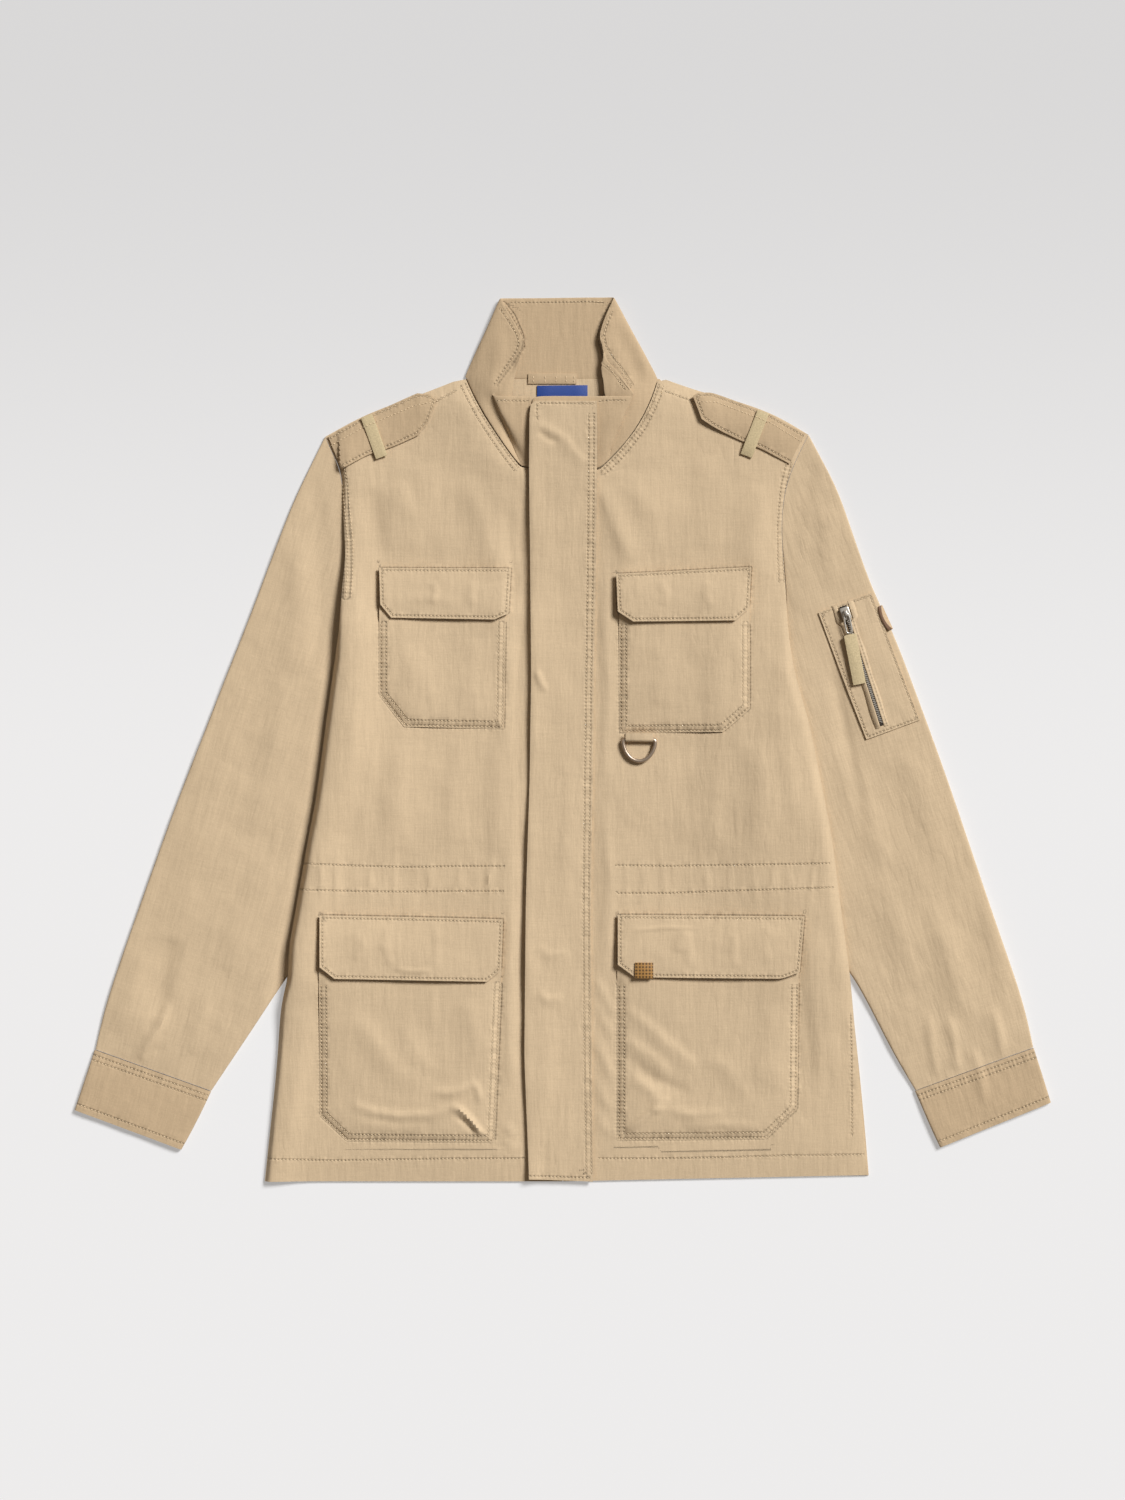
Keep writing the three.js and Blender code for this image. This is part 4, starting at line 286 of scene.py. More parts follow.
COLLAR_CREASES = creases(
    (-2.4, 2.2, 4.6, [(-74, 330), (-60, 304), (-46, 280), (-36, 262)]),
    (0.9, 6, 9, [(-62, 296), (-56, 322), (-50, 352)]),
    (0.8, 5, 7, [(-74, 322), (-64, 352), (-56, 384)]),
    (-1.5, 6, 5, [(48, 393), (60, 366), (77, 335)]),
    (0.6, 4, 4, [(45, 402), (52, 378), (62, 352)]),
    (1.5, 4, 3, [(54, 316), (44, 296), (34, 268)]),
    (-1.6, 1.6, 2.4, [(-41, 364), (-50, 351), (-64, 335)]),
    (0.4, 10, 10, [(-20, 372), (0, 366), (26, 372)]),
)
# Raised side edges of the body and free edges of the storm flap, in millimetres from the hem up
RIGHT_SIDE = [(-282.9, -419.4), (-276.7, -360.0), (-269.5, -285.0), (-267.7, -252.2), (-260.1, -224.7), (-246.3, -147.7),
              (-238.0, -100.0), (-229.7, -57.5), (-220.6, 10.9), (-211.7, 76.5), (-209.5, 147.0), (-206.5, 190.0),
              (-211.0, 255.0)]
LEFT_SIDE = [(289.5, -413.5), (281.0, -318.0), (272.2, -222.8), (262.4, -150.6), (254.8, -90.7), (245.3, -42.3),
             (233.4, 16.6), (218.7, 67.0), (217.0, 142.0), (214.0, 205.0)]
FLAP_SIDE = [(-32.0, -417.0), (-36.5, -300.0), (-35.0, -150.0), (-31.5, -40.0), (-30.0, 60.0), (-31.0, 170.0),
             (-32.0, 255.0), (-31.5, 311.0), (-26.0, 320.0)]
# Free lower edges of the pocket flaps: left and right end, top and lower edge, and rise, in millimetres
FLAP_DROPS = [(-175, -48, 162, 113, 1.5), (49, 179, 160, 111, 1.5),
              (-231, -55, -168, -228, 1.8), (51, 230, -167, -226, 1.8)]
# The sleeve pocket's zip: its upper end, its direction, and where its teeth and its cloth lips run
ZIP_TOP = (265.5, 126.5)
ZIP_HEADING = (0.309, -0.951)
TEETH_SPAN = (13.5, 117.0)
LIP_SPAN = (-3.0, 121.0)
# Section of a lip, from its inner edge outwards: distance and height
LIP_SECTION = ((0, 0.15), (0.1, 0.5), (0.9, 0.8), (2.6, 0.8))
# The round badge lies over the left sleeve's fold: the middle of its circle and its radius
BADGE_CIRCLE = (326.7, 125.2, 25.8)
# Smoothing passes over the collar's left wing
WING_PASSES = 24
# Distance from dot to dot on the leather tab, in metres
DOT_PITCH = 0.0031
# Places that stay still because hardware sits on them: x, y and reach
CALM_SPOTS = [(72.4, -6, 26), (267, 112, 20), (277, 66, 16), (303, 116, 16), (77, -218, 14),
              (-190, 282, 16), (181, 284, 16)]
# Rolls along the body's sides: height, how far in the top begins and how far it spreads, in millimetres
RIGHT_ROLL = (7.4, 2.8, 24)
LEFT_ROLL = (1.1, 4.5, 10)
# How far the body's right side is drawn out over the sleeve, and how far in that reaches, in millimetres
SIDE_PUSH = 4.5
SIDE_PUSH_REACH = 9
# Depth and reach of the dip along the sewn edges of the patch pockets, in millimetres
POCKET_DIP = 1.3
POCKET_DIP_REACH = 5
# Dip of the right sleeve beside the body: depth, distance from the body's side and reach, in millimetres
SLEEVE_DIP = (2.5, 4, 8)
# The storm flap's shadow line on the right front: depth, place and reach, in millimetres
FLAP_SINK = (1.9, -39, 6.5)
# Lengths of the cloth's waves in millimetres, and their shares
WAVE_PARTS = ((88, 1.0), (61, 0.8), (43, 0.6), (29, 0.38), (19, 0.22))
# Half widths in metres of the groove under a row of stitches and of the puckered band beside it, both painted with
# shade as well as shaped in height
GROOVE_HALF = 0.0013
BAND_HALF = 0.0042
# Distance of a row of teeth from the zip's middle, in millimetres, and a tooth's width and height in metres
TEETH_OFFSET = 0.62
TOOTH_WIDTH = 0.0019
TOOTH_HEIGHT = 0.0009
# Steps along a lip, and how far in millimetres its inner edge lies from the zip's middle, below and at the top
LIP_STEPS = 96
LIP_INNER = 1.75
LIP_FLARE = 3.65
# Where the camera stands, in metres
CAMERA_X = -0.0003
CAMERA_Y = -0.010


def rgb(red, green, blue):
    """Linear colour from 0-255 screen values."""
    return tuple(((c / 255 + 0.055) / 1.055) ** 2.4 if c > 10 else c / 3294.6 for c in (red, green, blue)) + (1.0,)


def tint(name, description, red, green, blue):
    """A colour setting whose default is given in 0-255 screen values."""
    return bpy.props.FloatVectorProperty(
        name=name, description=description, subtype="COLOR", size=4, min=0, max=1, default=rgb(red, green, blue))


class JacketCloth(bpy.types.PropertyGroup):
    colour: tint("Cloth", "Colour of the twill", 205, 182, 150)
    thread: tint("Thread", "Colour of the sewing thread", 228, 206, 172)
    deep: tint("Deep cloth", "Colour of the collar, the epaulettes and the cuffs", 193, 169, 137)
    crease: bpy.props.FloatProperty(
        name="Creases", description="Strength of the creases in the cloth", default=1.25, min=0, max=2)
    wave: bpy.props.FloatProperty(
        name="Waves", description="Height of the cloth's faint waves", default=0.00016, min=0, unit="LENGTH")
    detail: bpy.props.IntProperty(
        name="Detail", description="Subdivision of the panels", default=3, min=1, max=3)
    stitch: bpy.props.FloatProperty(
        name="Stitch", description="Length of one stitch", default=0.0026, min=0.001, unit="LENGTH")
    stitch_gap: bpy.props.FloatProperty(
        name="Stitch gap", description="Cloth between two stitches", default=0.0009, min=0.0002, unit="LENGTH")
    thread_width: bpy.props.FloatProperty(
        name="Thread width", description="Thickness of the thread", default=0.0007, min=0.0002, unit="LENGTH")
    row_gap: bpy.props.FloatProperty(
        name="Row gap", description="Distance between the two rows of a double seam", default=0.0048, unit="LENGTH")


class JacketTrim(bpy.types.PropertyGroup):
    metal: tint("Ring metal", "Colour of the ring", 172, 154, 136)
    zip_metal: tint("Zip metal", "Colour of the zip's teeth, slider and pull", 206, 201, 192)
    webbing: tint("Webbing", "Colour of the tapes and loops", 199, 181, 143)
    tape: tint("Zip tape", "Colour of the zip's tape", 56, 47, 38)
    leather: tint("Leather", "Colour of the leather tab", 170, 126, 68)
    badge: tint("Badge", "Colour of the round badge", 188, 160, 124)
    badge_rim: tint("Badge rim", "Colour of the round badge's rim", 98, 68, 42)
    label: tint("Label", "Colour of the neck label", 30, 64, 138)
    tooth_pitch: bpy.props.FloatProperty(
        name="Tooth pitch", description="Distance from one tooth to the next on the same side", default=0.0022,
        min=0.001, unit="LENGTH")


class JacketStage(bpy.types.PropertyGroup):
    floor: tint("Floor", "Colour of the surface below", 190, 190, 191)
    glow: bpy.props.FloatProperty(
        name="Glow", description="Light that the surface below gives off", default=0.62, min=0, max=1)
    key: bpy.props.FloatProperty(
        name="Key light", description="Strength of the main light", default=3.95, min=0)
    key_size: bpy.props.FloatProperty(
        name="Key size", description="Angle that the main light fills", default=math.radians(20), min=0,
        subtype="ANGLE", unit="ROTATION")
    key_turn: bpy.props.FloatProperty(
        name="Key direction", description="Turn of the main light from +X", default=math.radians(42),
        subtype="ANGLE", unit="ROTATION")
    key_rise: bpy.props.FloatProperty(
        name="Key rise", description="Height of the main light over the surface", default=math.radians(43),
        subtype="ANGLE", unit="ROTATION")
    sky: bpy.props.FloatProperty(name="Sky", description="Strength of the light all round", default=0.17, min=0)
    lens: bpy.props.FloatProperty(
        name="Lens", description="Focal length in millimetres", default=85, min=20)
    height: bpy.props.FloatProperty(
        name="Camera height", description="Height of the camera over the surface", default=3.365, unit="LENGTH")


def polyline_field(px, py, line):
    """Signed distance to a line, the way along it, and its share of the whole, for many points."""
    best = np.full(px.shape, 1e9)
    side = np.zeros(px.shape)
    along = np.zeros(px.shape)
    run = 0.0
    for (ax, ay), (bx, by) in zip(line, line[1:]):
        dx, dy = bx - ax, by - ay
        span = math.hypot(dx, dy)
        t = np.clip(((px - ax) * dx + (py - ay) * dy) / (span * span), 0, 1)
        away = np.hypot(px - ax - t * dx, py - ay - t * dy)
        nearer = away < best
        best = np.where(nearer, away, best)
        turn = np.sign(dx * (py - ay) - dy * (px - ax))
        side = np.where(nearer, np.where(turn == 0, 1, turn), side)
        along = np.where(nearer, run + t * span, along)
        run += span
    return best * side, along, along / run


def crease_height(px, py, table):
    """Height of all creases of a table, each fading out at its ends."""
    total = np.zeros(px.shape)
    for crease in table:
        signed, _, share = polyline_field(px, py, crease["line"])
        width = np.where(signed > 0, crease["left"], crease["right"])
        ends = 1 - (2 * share - 1) ** 4
        total += CREASE_GAIN * crease["height"] * ends * np.exp(-(signed / width) ** 2)
    return total


def gather_height(px, py):
    """Small gathers that cross the waist's casing."""
    total = np.zeros(px.shape)
    for number, x in enumerate(WAIST_GATHERS):
        high = 0.85 + 0.4 * math.sin(number * 2.3)
        reach = 17 + 8 * math.sin(number * 1.7)
        lean = 0.16 * math.sin(number * 3.1)
        centre = x + lean * (py + 132)
        total += high * np.exp(-((px - centre) / 2.1) ** 2) * np.exp(-((py + 132) / reach) ** 2)
    return total


def wave_height(px, py, seed):
    """Faint waves that run across the cloth in several directions."""
    total = np.zeros(px.shape)
    for number, (length, share) in enumerate(WAVE_PARTS):
        turn = seed + number * 1.9
        across = px * math.cos(turn) + py * math.sin(turn)
        other = -px * math.sin(turn) + py * math.cos(turn)
        bend = 9 * np.sin(other / length * 2.1 + seed * 3)
        total += share * np.sin((across + bend) / length * math.tau + number * 2.7)
    return total


def fold_rise(px, py, line, side, high, near, far):
    """Height of a rolled edge: it climbs from the edge, side 1 to the line's left, and sinks back inside."""
    signed, _, _ = polyline_field(px, py, line)
    inside = np.maximum(signed * side, 0)
    return high * (1 - np.exp(-(inside / near) ** 2)) * np.exp(-(np.maximum(inside - 1.6 * near, 0) / far) ** 2)


def edge_lift(px, py, line, side, high, far):
    """Height of a free edge that stands off what lies below."""
    signed, _, _ = polyline_field(px, py, line)
    return high * np.exp(-(np.maximum(signed * side, 0) / far) ** 2)


def flap_rise(px, py):
    """The lower part of each pocket flap stands off its pocket."""
    total = np.zeros(px.shape)
    for left, right, top, low, high in FLAP_DROPS:
        inside = (px > left - 4) & (px < right + 4) & (py < top + 4) & (py > low - 6)
        high = high * (0.8 + 0.3 * np.sin(px / 19 + left))
        total += inside * high * np.clip((top - py) / (top - low), 0, 1) ** 1.4
    return total


def calm_share(px, py):
    """The share of the creases that a place keeps: none beside hardware."""
    share = np.ones(px.shape)
    for x, y, reach in CALM_SPOTS:
        away = np.clip((np.hypot(px - x, py - y) - reach * 0.55) / (reach * 0.9), 0, 1)
        share = np.minimum(share, away * away * (3 - 2 * away))
    return share


def smooth_step(value, low, high):
    """A soft step from 0 below low to 1 above high."""
    t = np.clip((value - low) / (high - low), 0, 1)
    return t * t * (3 - 2 * t)


def inset_line(line, inset, closed):
    """The line moved to its left by the inset, mitred at its corners."""
    count = len(line)
    out = []
    for i, (x, y) in enumerate(line):
        before = line[i - 1] if i or closed else None
        after = line[(i + 1) % count] if i + 1 < count or closed else None
        normals = []
        for a, b in ((before, (x, y)), ((x, y), after)):
            if a is None or b is None:
                continue
            span = math.hypot(b[0] - a[0], b[1] - a[1])
            normals.append((-(b[1] - a[1]) / span, (b[0] - a[0]) / span))
        nx = sum(n[0] for n in normals) / len(normals)
        ny = sum(n[1] for n in normals) / len(normals)
        scale = inset / max(0.35, nx * nx + ny * ny)
        out.append((x + nx * scale, y + ny * scale))
    if closed:
        out.append(out[0])
    return out


def piece_lines(name):
    """Every stitched line of a piece, as rows and points, and with rows 0 the lines of painted shade along its ditches
    and the collar wings' edges.
    """
    seams = BODY_SEAMS.get(name, []) + STITCHED_LINES.get(name, [])
    if name in EDGE_SEAMS:
        seams = seams + [EDGE_SEAMS[name]]
    lines = [{"rows": seam["rows"], "line": inset_line(seam["line"], seam["inset"], seam.get("closed", False))
              if "inset" in seam else seam["line"]} for seam in seams]
    # Lines of painted shade, with a slight dip, along the outlines of the pieces sewn on top.
    for edge in SHADED_DITCHES.get(name, []):
        outline = EDGE_SEAMS[edge]
        lines.append({"rows": 0, "line": inset_line(outline["line"], DITCH_OFFSET, outline.get("closed", False))})
    # Lines of painted shade along the collar wings' free edges.
    if name == "collar":
        lines.extend({"rows": 0, "line": edge} for edge in SHADED_WING_EDGES)
    return lines


def context_ready():
    """Leaves edit mode and deselects everything."""
    if bpy.context.object and bpy.context.object.mode != "OBJECT":
        bpy.ops.object.mode_set(mode="OBJECT")
    bpy.ops.object.select_all(action="DESELECT")


def activate(ob):
    """Makes one piece the active and only selected one, in object mode."""
    context_ready()
    bpy.context.view_layer.objects.active = ob
    ob.select_set(True)


def copy_node(node, name):
    """A merged copy of a frame node's mesh, in edit mode with everything selected."""
    mesh = NODES[node].data.copy()
    mesh.materials.clear()
    ob = bpy.data.objects.new(name, mesh)
    bpy.context.scene.collection.objects.link(ob)
    activate(ob)
    bpy.ops.object.mode_set(mode="EDIT")
    bpy.ops.mesh.select_all(action="SELECT")
    bpy.ops.mesh.customdata_custom_splitnormals_clear()
    bpy.ops.mesh.remove_doubles(threshold=1e-5)
    return ob


def finish_piece(ob, node, material, smooth=40):
    """Shades, paints and hangs a piece on its body."""
    bpy.context.view_layer.objects.active = ob
    ob.select_set(True)
    bpy.ops.object.shade_smooth_by_angle(angle=math.radians(smooth))
    ob.data.materials.clear()
    ob.data.materials.append(material)
    for polygon in ob.data.polygons:
        polygon.material_index = 0
    body = "jacket"
    for name, members in frame["record"]["behaviour"]["bodies"].items():
        if node in members:
            body = name
    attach(ob, body)


def crease_rims(ob, sharp=52, corner=24):
    """Marks the rims of a cloth piece, and its corners, so that they stay put when it is rounded."""
    mesh = bmesh.from_edit_mesh(ob.data)
    layer = mesh.edges.layers.float.get("crease_edge") or mesh.edges.layers.float.new("crease_edge")
    for edge in mesh.edges:
        if len(edge.link_faces) != 2:
            continue
        turn = math.degrees(edge.calc_face_angle(0))
        upright = abs(edge.verts[0].co.z - edge.verts[1].co.z) > 0.6 * edge.calc_length()
        if turn > sharp or (upright and turn > corner and edge.calc_length() < 0.004):
            edge[layer] = 1.0
    bmesh.update_edit_mesh(ob.data)


def vertex_places(ob):
    """The mesh's points as an array, in metres."""
    flat = np.zeros(len(ob.data.vertices) * 3, np.float32)
    ob.data.vertices.foreach_get("co", flat)
    return flat.reshape(-1, 3)


def move_cloth(ob, shape, name):
    """Adds the creases to a rounded cloth mesh and stores where its seams run, and where shade is painted along its
    ditches and wing edges.
    """
    settings = bpy.context.scene.jacket_cloth
    count = len(ob.data.vertices)
    points = vertex_places(ob).astype(float)
    px, py, pz = points[:, 0] / MM, points[:, 1] / MM, points[:, 2] / MM
    points[:, 2] += shape(px, py, pz) * settings.crease * MM
    points[:, 2] = np.maximum(points[:, 2], 0.0001)
    ob.data.vertices.foreach_set("co", points.astype(np.float32).ravel())
    seam = np.zeros((count, 3), np.float32)
    half = np.zeros(count, np.float32)
    nearest = np.full(count, 1e9)
    second = np.full(count, 1e9)
    past_end = np.zeros(count, bool)
    for line in piece_lines(name):
        signed, along, share = polyline_field(px, py, line["line"])
        away = np.abs(signed)
        past = ((share <= 0) | (share >= 1)) & (line["line"][0] != line["line"][-1])
        nearer = away < nearest
        second = np.where(nearer, nearest, np.minimum(second, away))
        nearest = np.where(nearer, away, nearest)
        past_end = np.where(nearer, past, past_end)
        seam[nearer, 0] = (signed * (1 - smooth_step(away, 8, 14)))[nearer] * MM
        seam[nearer, 1] = (along / (settings.stitch + settings.stitch_gap))[nearer] * MM
        half[nearer] = settings.row_gap / 2 if line["rows"] == 2 else 0
    seam[:, 2] = (1 - smooth_step(nearest, 3.2, 7.4)) * smooth_step(second - nearest, 0.5, 5) * ~past_end
    # The shader also paints shade along the grooves that this attribute marks.
    attribute = ob.data.attributes.new("seam", "FLOAT_VECTOR", "POINT")
    attribute.data.foreach_set("vector", seam.ravel())
    attribute = ob.data.attributes.new("seam_half", "FLOAT", "POINT")
    attribute.data.foreach_set("value", half)
    ob.data.update()


def soften(node, name, level, shape, material, sharp=52):
    """A cloth piece on a frame node's form: rounded, creased and marked with its seams."""
    ob = copy_node(node, name)
    bpy.ops.mesh.tris_convert_to_quads(face_threshold=0.6, shape_threshold=math.pi)
    crease_rims(ob, sharp)
    bpy.ops.object.mode_set(mode="OBJECT")
    modifier = ob.modifiers.new("Round", "SUBSURF")
    modifier.levels = level
    modifier.boundary_smooth = "PRESERVE_CORNERS"
    bpy.ops.object.modifier_apply(modifier=modifier.name)
    move_cloth(ob, shape, node)
    finish_piece(ob, node, material)
    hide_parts(node)
    return ob


def waves(px, py, seed, share=1.0):
    """The cloth's faint waves, in millimetres."""
    return share * bpy.context.scene.jacket_cloth.wave / MM * wave_height(px, py, seed)


def close_neck(ob):
    """Draws the back panel's neck edge up to the collar that is sewn to it."""
    for vertex in ob.data.vertices:
        if vertex.co.y > 0.3402 and abs(vertex.co.x) < 0.0925:
            vertex.co.y += 0.0013


def side_rolls(px, py):
    """The raised roll of the body's right side, and the low one of its left side."""
    window = 0.42 + 0.58 * smooth_step(-py, -215, -90) * (1 - 0.75 * smooth_step(-py, 200, 290))
    right = window * fold_rise(px, py, RIGHT_SIDE, -1, *RIGHT_ROLL)
    window = smooth_step(-py, -190, -60) * (1 - smooth_step(-py, 180, 300))
    left = window * fold_rise(px, py, LEFT_SIDE, 1, *LEFT_ROLL)
    return np.where(px < 0, right, left)


def body_shape(px, py, pz):
    """The creases, gathers and rolls of the body and of what is sewn on it."""
    share = calm_share(px, py) * smooth_step(pz, 3.2, 6.0)
    high = crease_height(px, py, BODY_CREASES) + gather_height(px, py) + crease_height(px, py, POCKET_CREASES)
    return share * (high + waves(px, py, 0.7)) + side_rolls(px, py)


def pocket_shape(px, py, pz):
    """A patch pocket, whose edges are sewn down to the front."""
    away = np.full(px.shape, 1e9)
    for name in EDGE_SEAMS:
        if "pocket_" in name:
            away = np.minimum(away, np.abs(polyline_field(px, py, EDGE_SEAMS[name]["line"])[0]))
    return body_shape(px, py, pz) - POCKET_DIP * np.exp(-(away / POCKET_DIP_REACH) ** 2)


def push_side(ob):
    """Draws the body's right side outwards, so that its roll hangs over the sleeve."""
    points = vertex_places(ob)
    px, py = points[:, 0] / MM, points[:, 1] / MM
    signed, _, _ = polyline_field(px, py, RIGHT_SIDE)
    inside = np.maximum(-signed, 0)
    window = (1 - smooth_step(py, 190, 250)) * smooth_step(py, -235, -190)
    points[:, 0] -= SIDE_PUSH * MM * window * np.exp(-(inside / SIDE_PUSH_REACH) ** 2)
    ob.data.vertices.foreach_set("co", points.ravel())
    ob.data.update()


def front_right_shape(px, py, pz):
    """The right front, which sinks beside the storm flap."""
    depth, place, reach = FLAP_SINK
    sink = depth * np.exp(-((px - place) / reach) ** 2) * smooth_step(pz, 4, 6.4) * smooth_step(-py, -250, -200)
    return body_shape(px, py, pz) - sink


def placket_shape(px, py, pz):
    """The storm flap, whose free edge stands off the right front."""
    rise = (1.1 + 0.5 * np.sin(py / 41) + 0.4 * np.sin(py / 17 + 1)) * smooth_step(-py, -318, -285)
    return body_shape(px, py, pz) + edge_lift(px, py, FLAP_SIDE, -1, 1.0, 10) * rise


def flap_shape(px, py, pz):
    """A pocket flap, whose lower edge stands off its pocket."""
    return body_shape(px, py, pz) + flap_rise(px, py)


def epaulette_shape(px, py, pz):
    """The epaulettes' outer ends are sewn down into the armholes."""
    return body_shape(px, py, pz) - 0.8 * smooth_step(np.abs(px), 198, 218)


def back_shape(px, py, pz):
    """The back panel, which lies on the floor."""
    return 0.10 * (1 + np.sin(px / 37 + np.sin(py / 61)))


def sleeve_shape(px, py, pz):
    """The sleeves, their cuffs and the sleeve pocket."""
    free = smooth_step(pz, 2.6, 4.6)
    right, _, _ = polyline_field(px, py, RIGHT_SIDE)
    depth, away, reach = SLEEVE_DIP
    dip = depth * np.exp(-((right - away) / reach) ** 2) * (px < 0) * smooth_step(-py, -262, -180)
    return calm_share(px, py) * free * (crease_height(px, py, SLEEVE_CREASES) + waves(px, py, 2.1, 1.1) - dip)


def collar_shape(px, py, pz):
    """The collar, whose turned wings sink towards the stand."""
    sink = 0.46 * smooth_step(py, 322, 350) * np.maximum(pz - 6, 0)
    return smooth_step(pz, 3, 8) * (crease_height(px, py, COLLAR_CREASES) + waves(px, py, 1.3, 0.8)) - sink


def smooth_wing(ob):
    """Evens the inner edge of the collar's left wing."""
    activate(ob)
    for vertex in ob.data.vertices:
        x, y, z = (value / MM for value in vertex.co)
        vertex.select = 24 < x < 62 and 330 < y < 402 and z > 4
        if z > 4:
            vertex.co.x -= 0.0062 * math.exp(-((y - 356) / 7) ** 2 - ((x - 43) / 6) ** 2)
    bpy.ops.object.mode_set(mode="EDIT")
    bpy.ops.mesh.vertices_smooth(factor=0.5, repeat=WING_PASSES)
    bpy.ops.object.mode_set(mode="OBJECT")


def shader_nodes(name):
    material = bpy.data.materials.new(name)
    material.use_nodes = True
    return material, material.node_tree


def twill_group():
    """Woven twill: colour, roughness and height from object coordinates and the seam attribute, with painted shade in
    the grooves and needle holes and painted light and shade on the puckers and crumples.
    """
    found = bpy.data.node_groups.get("Cotton twill")
    if found:
        return found
    group = bpy.data.node_groups.new("Cotton twill", "ShaderNodeTree")
    face = group.interface
    colour = face.new_socket("Cloth", in_out="INPUT", socket_type="NodeSocketColor")
    colour.description = "Base colour of the cloth"
    face.new_socket("Turn", in_out="INPUT", socket_type="NodeSocketVector").description = "Turn of the cloth's grain"
    face.new_socket("Color", in_out="OUTPUT", socket_type="NodeSocketColor")
    face.new_socket("Roughness", in_out="OUTPUT", socket_type="NodeSocketFloat")
    face.new_socket("Height", in_out="OUTPUT", socket_type="NodeSocketFloat")
    nodes, links = group.nodes, group.links
    begin = nodes.new("NodeGroupInput")
    end = nodes.new("NodeGroupOutput")
    place = nodes.new("ShaderNodeTexCoord")
    grain = nodes.new("ShaderNodeMapping")
    links.new(begin.outputs["Turn"], grain.inputs["Rotation"])
    links.new(place.outputs["Object"], grain.inputs["Vector"])

    def maths(kind, a, b=None, c=None):
        node = nodes.new("ShaderNodeMath")
        node.operation = kind
        for slot, value in enumerate((a, b, c)):
            if value is None:
                continue
            if isinstance(value, (int, float)):
                node.inputs[slot].default_value = value
            else:
                links.new(value, node.inputs[slot])
        return node.outputs[0]

    def noise(vector, scale, detail=2.0, rough=0.5):
        node = nodes.new("ShaderNodeTexNoise")
        node.inputs["Scale"].default_value = scale
        node.inputs["Detail"].default_value = detail
        node.inputs["Roughness"].default_value = rough
        links.new(vector, node.inputs["Vector"])
        return node.outputs["Fac"]

    def stretched(x, y):
        node = nodes.new("ShaderNodeMapping")
        node.inputs["Scale"].default_value = (x, y, 60)
        links.new(grain.outputs["Vector"], node.inputs["Vector"])
        return node.outputs["Vector"]

    turned = nodes.new("ShaderNodeMapping")
    turned.inputs["Rotation"].default_value = (0, 0, math.radians(56))
    links.new(grain.outputs["Vector"], turned.inputs["Vector"])
    rib = nodes.new("ShaderNodeTexWave")
    rib.inputs["Scale"].default_value = 300
    rib.inputs["Distortion"].default_value = 1.2
    rib.inputs["Detail"].default_value = 1
    links.new(turned.outputs["Vector"], rib.inputs["Vector"])

    seam = nodes.new("ShaderNodeAttribute")
    seam.attribute_name = "seam"
    parts = nodes.new("ShaderNodeSeparateXYZ")
    links.new(seam.outputs["Vector"], parts.inputs[0])
    split = nodes.new("ShaderNodeAttribute")
    split.attribute_name = "seam_half"
    near = parts.outputs[2]
    away = maths("SUBTRACT", maths("ABSOLUTE", parts.outputs[0]), split.outputs["Fac"])
    # The groove under a row of stitches, a ditch or a wing edge: a dip in the height, and painted shade in the colour.
    groove = maths("MAXIMUM", maths("SUBTRACT", 1, maths("DIVIDE", maths("ABSOLUTE", away), GROOVE_HALF)), 0)
    groove = maths("MULTIPLY", groove, maths("MINIMUM", maths("MULTIPLY", near, 2.5), 1))
    beat = maths("COSINE", maths("MULTIPLY", parts.outputs[1], math.tau))
    # Needle holes: small dips, with painted shade in them.
    hole = maths("MULTIPLY", maths("POWER", maths("MAXIMUM", beat, 0), 3), groove)
    band = maths("MAXIMUM", maths("SUBTRACT", 1, maths("DIVIDE", maths("MAXIMUM", away, 0), BAND_HALF)), 0)
    band = maths("MULTIPLY", band, maths("MINIMUM", maths("MULTIPLY", near, 2.5), 1))
    run = nodes.new("ShaderNodeCombineXYZ")
    links.new(maths("MULTIPLY", parts.outputs[1], 0.55), run.inputs[0])
    links.new(maths("MULTIPLY", parts.outputs[0], 70), run.inputs[1])
    # Puckers and ladder beside the rows: bumps whose lit and shaded sides are also painted into the colour.
    pucker = maths("MULTIPLY", maths("SUBTRACT", noise(run.outputs[0], 1.0, 1.0, 0.5), 0.5), band)
    ladder = maths("MULTIPLY", beat, band)

    broad = noise(place.outputs["Object"], 14, 3.0, 0.55)
    fine = noise(grain.outputs["Vector"], 620, 2.0, 0.7)
    thread = noise(stretched(60, 900), 1.0, 2.0, 0.6)
    warp = noise(stretched(900, 50), 1.0, 2.0, 0.6)
    streak = noise(stretched(150, 20), 1.0, 3.0, 0.6)
    soft = noise(grain.outputs["Vector"], 60, 4.0, 0.6)
    ridge = maths("ABSOLUTE", maths("SUBTRACT", maths("MULTIPLY", noise(stretched(70, 24), 1.0, 2.0, 0.5), 2), 1))
    patch = maths("MULTIPLY", maths("SUBTRACT", noise(place.outputs["Object"], 8, 1.0, 0.5), 0.36), 4)
    patch = maths("MINIMUM", maths("MAXIMUM", patch, 0.15), 1)
    # Crumples: ridged bumps, whose ridges are also painted slightly darker as painted shade.
    crumple = maths("MAXIMUM", maths("SUBTRACT", 1, maths("MULTIPLY", ridge, 2.6)), 0)
    crumple = maths("MULTIPLY", maths("POWER", crumple, 2), patch)

    def total(start, *terms):
        value = start
        for source, share in terms:
            value = maths("ADD", value, maths("MULTIPLY", source, share))
        return value

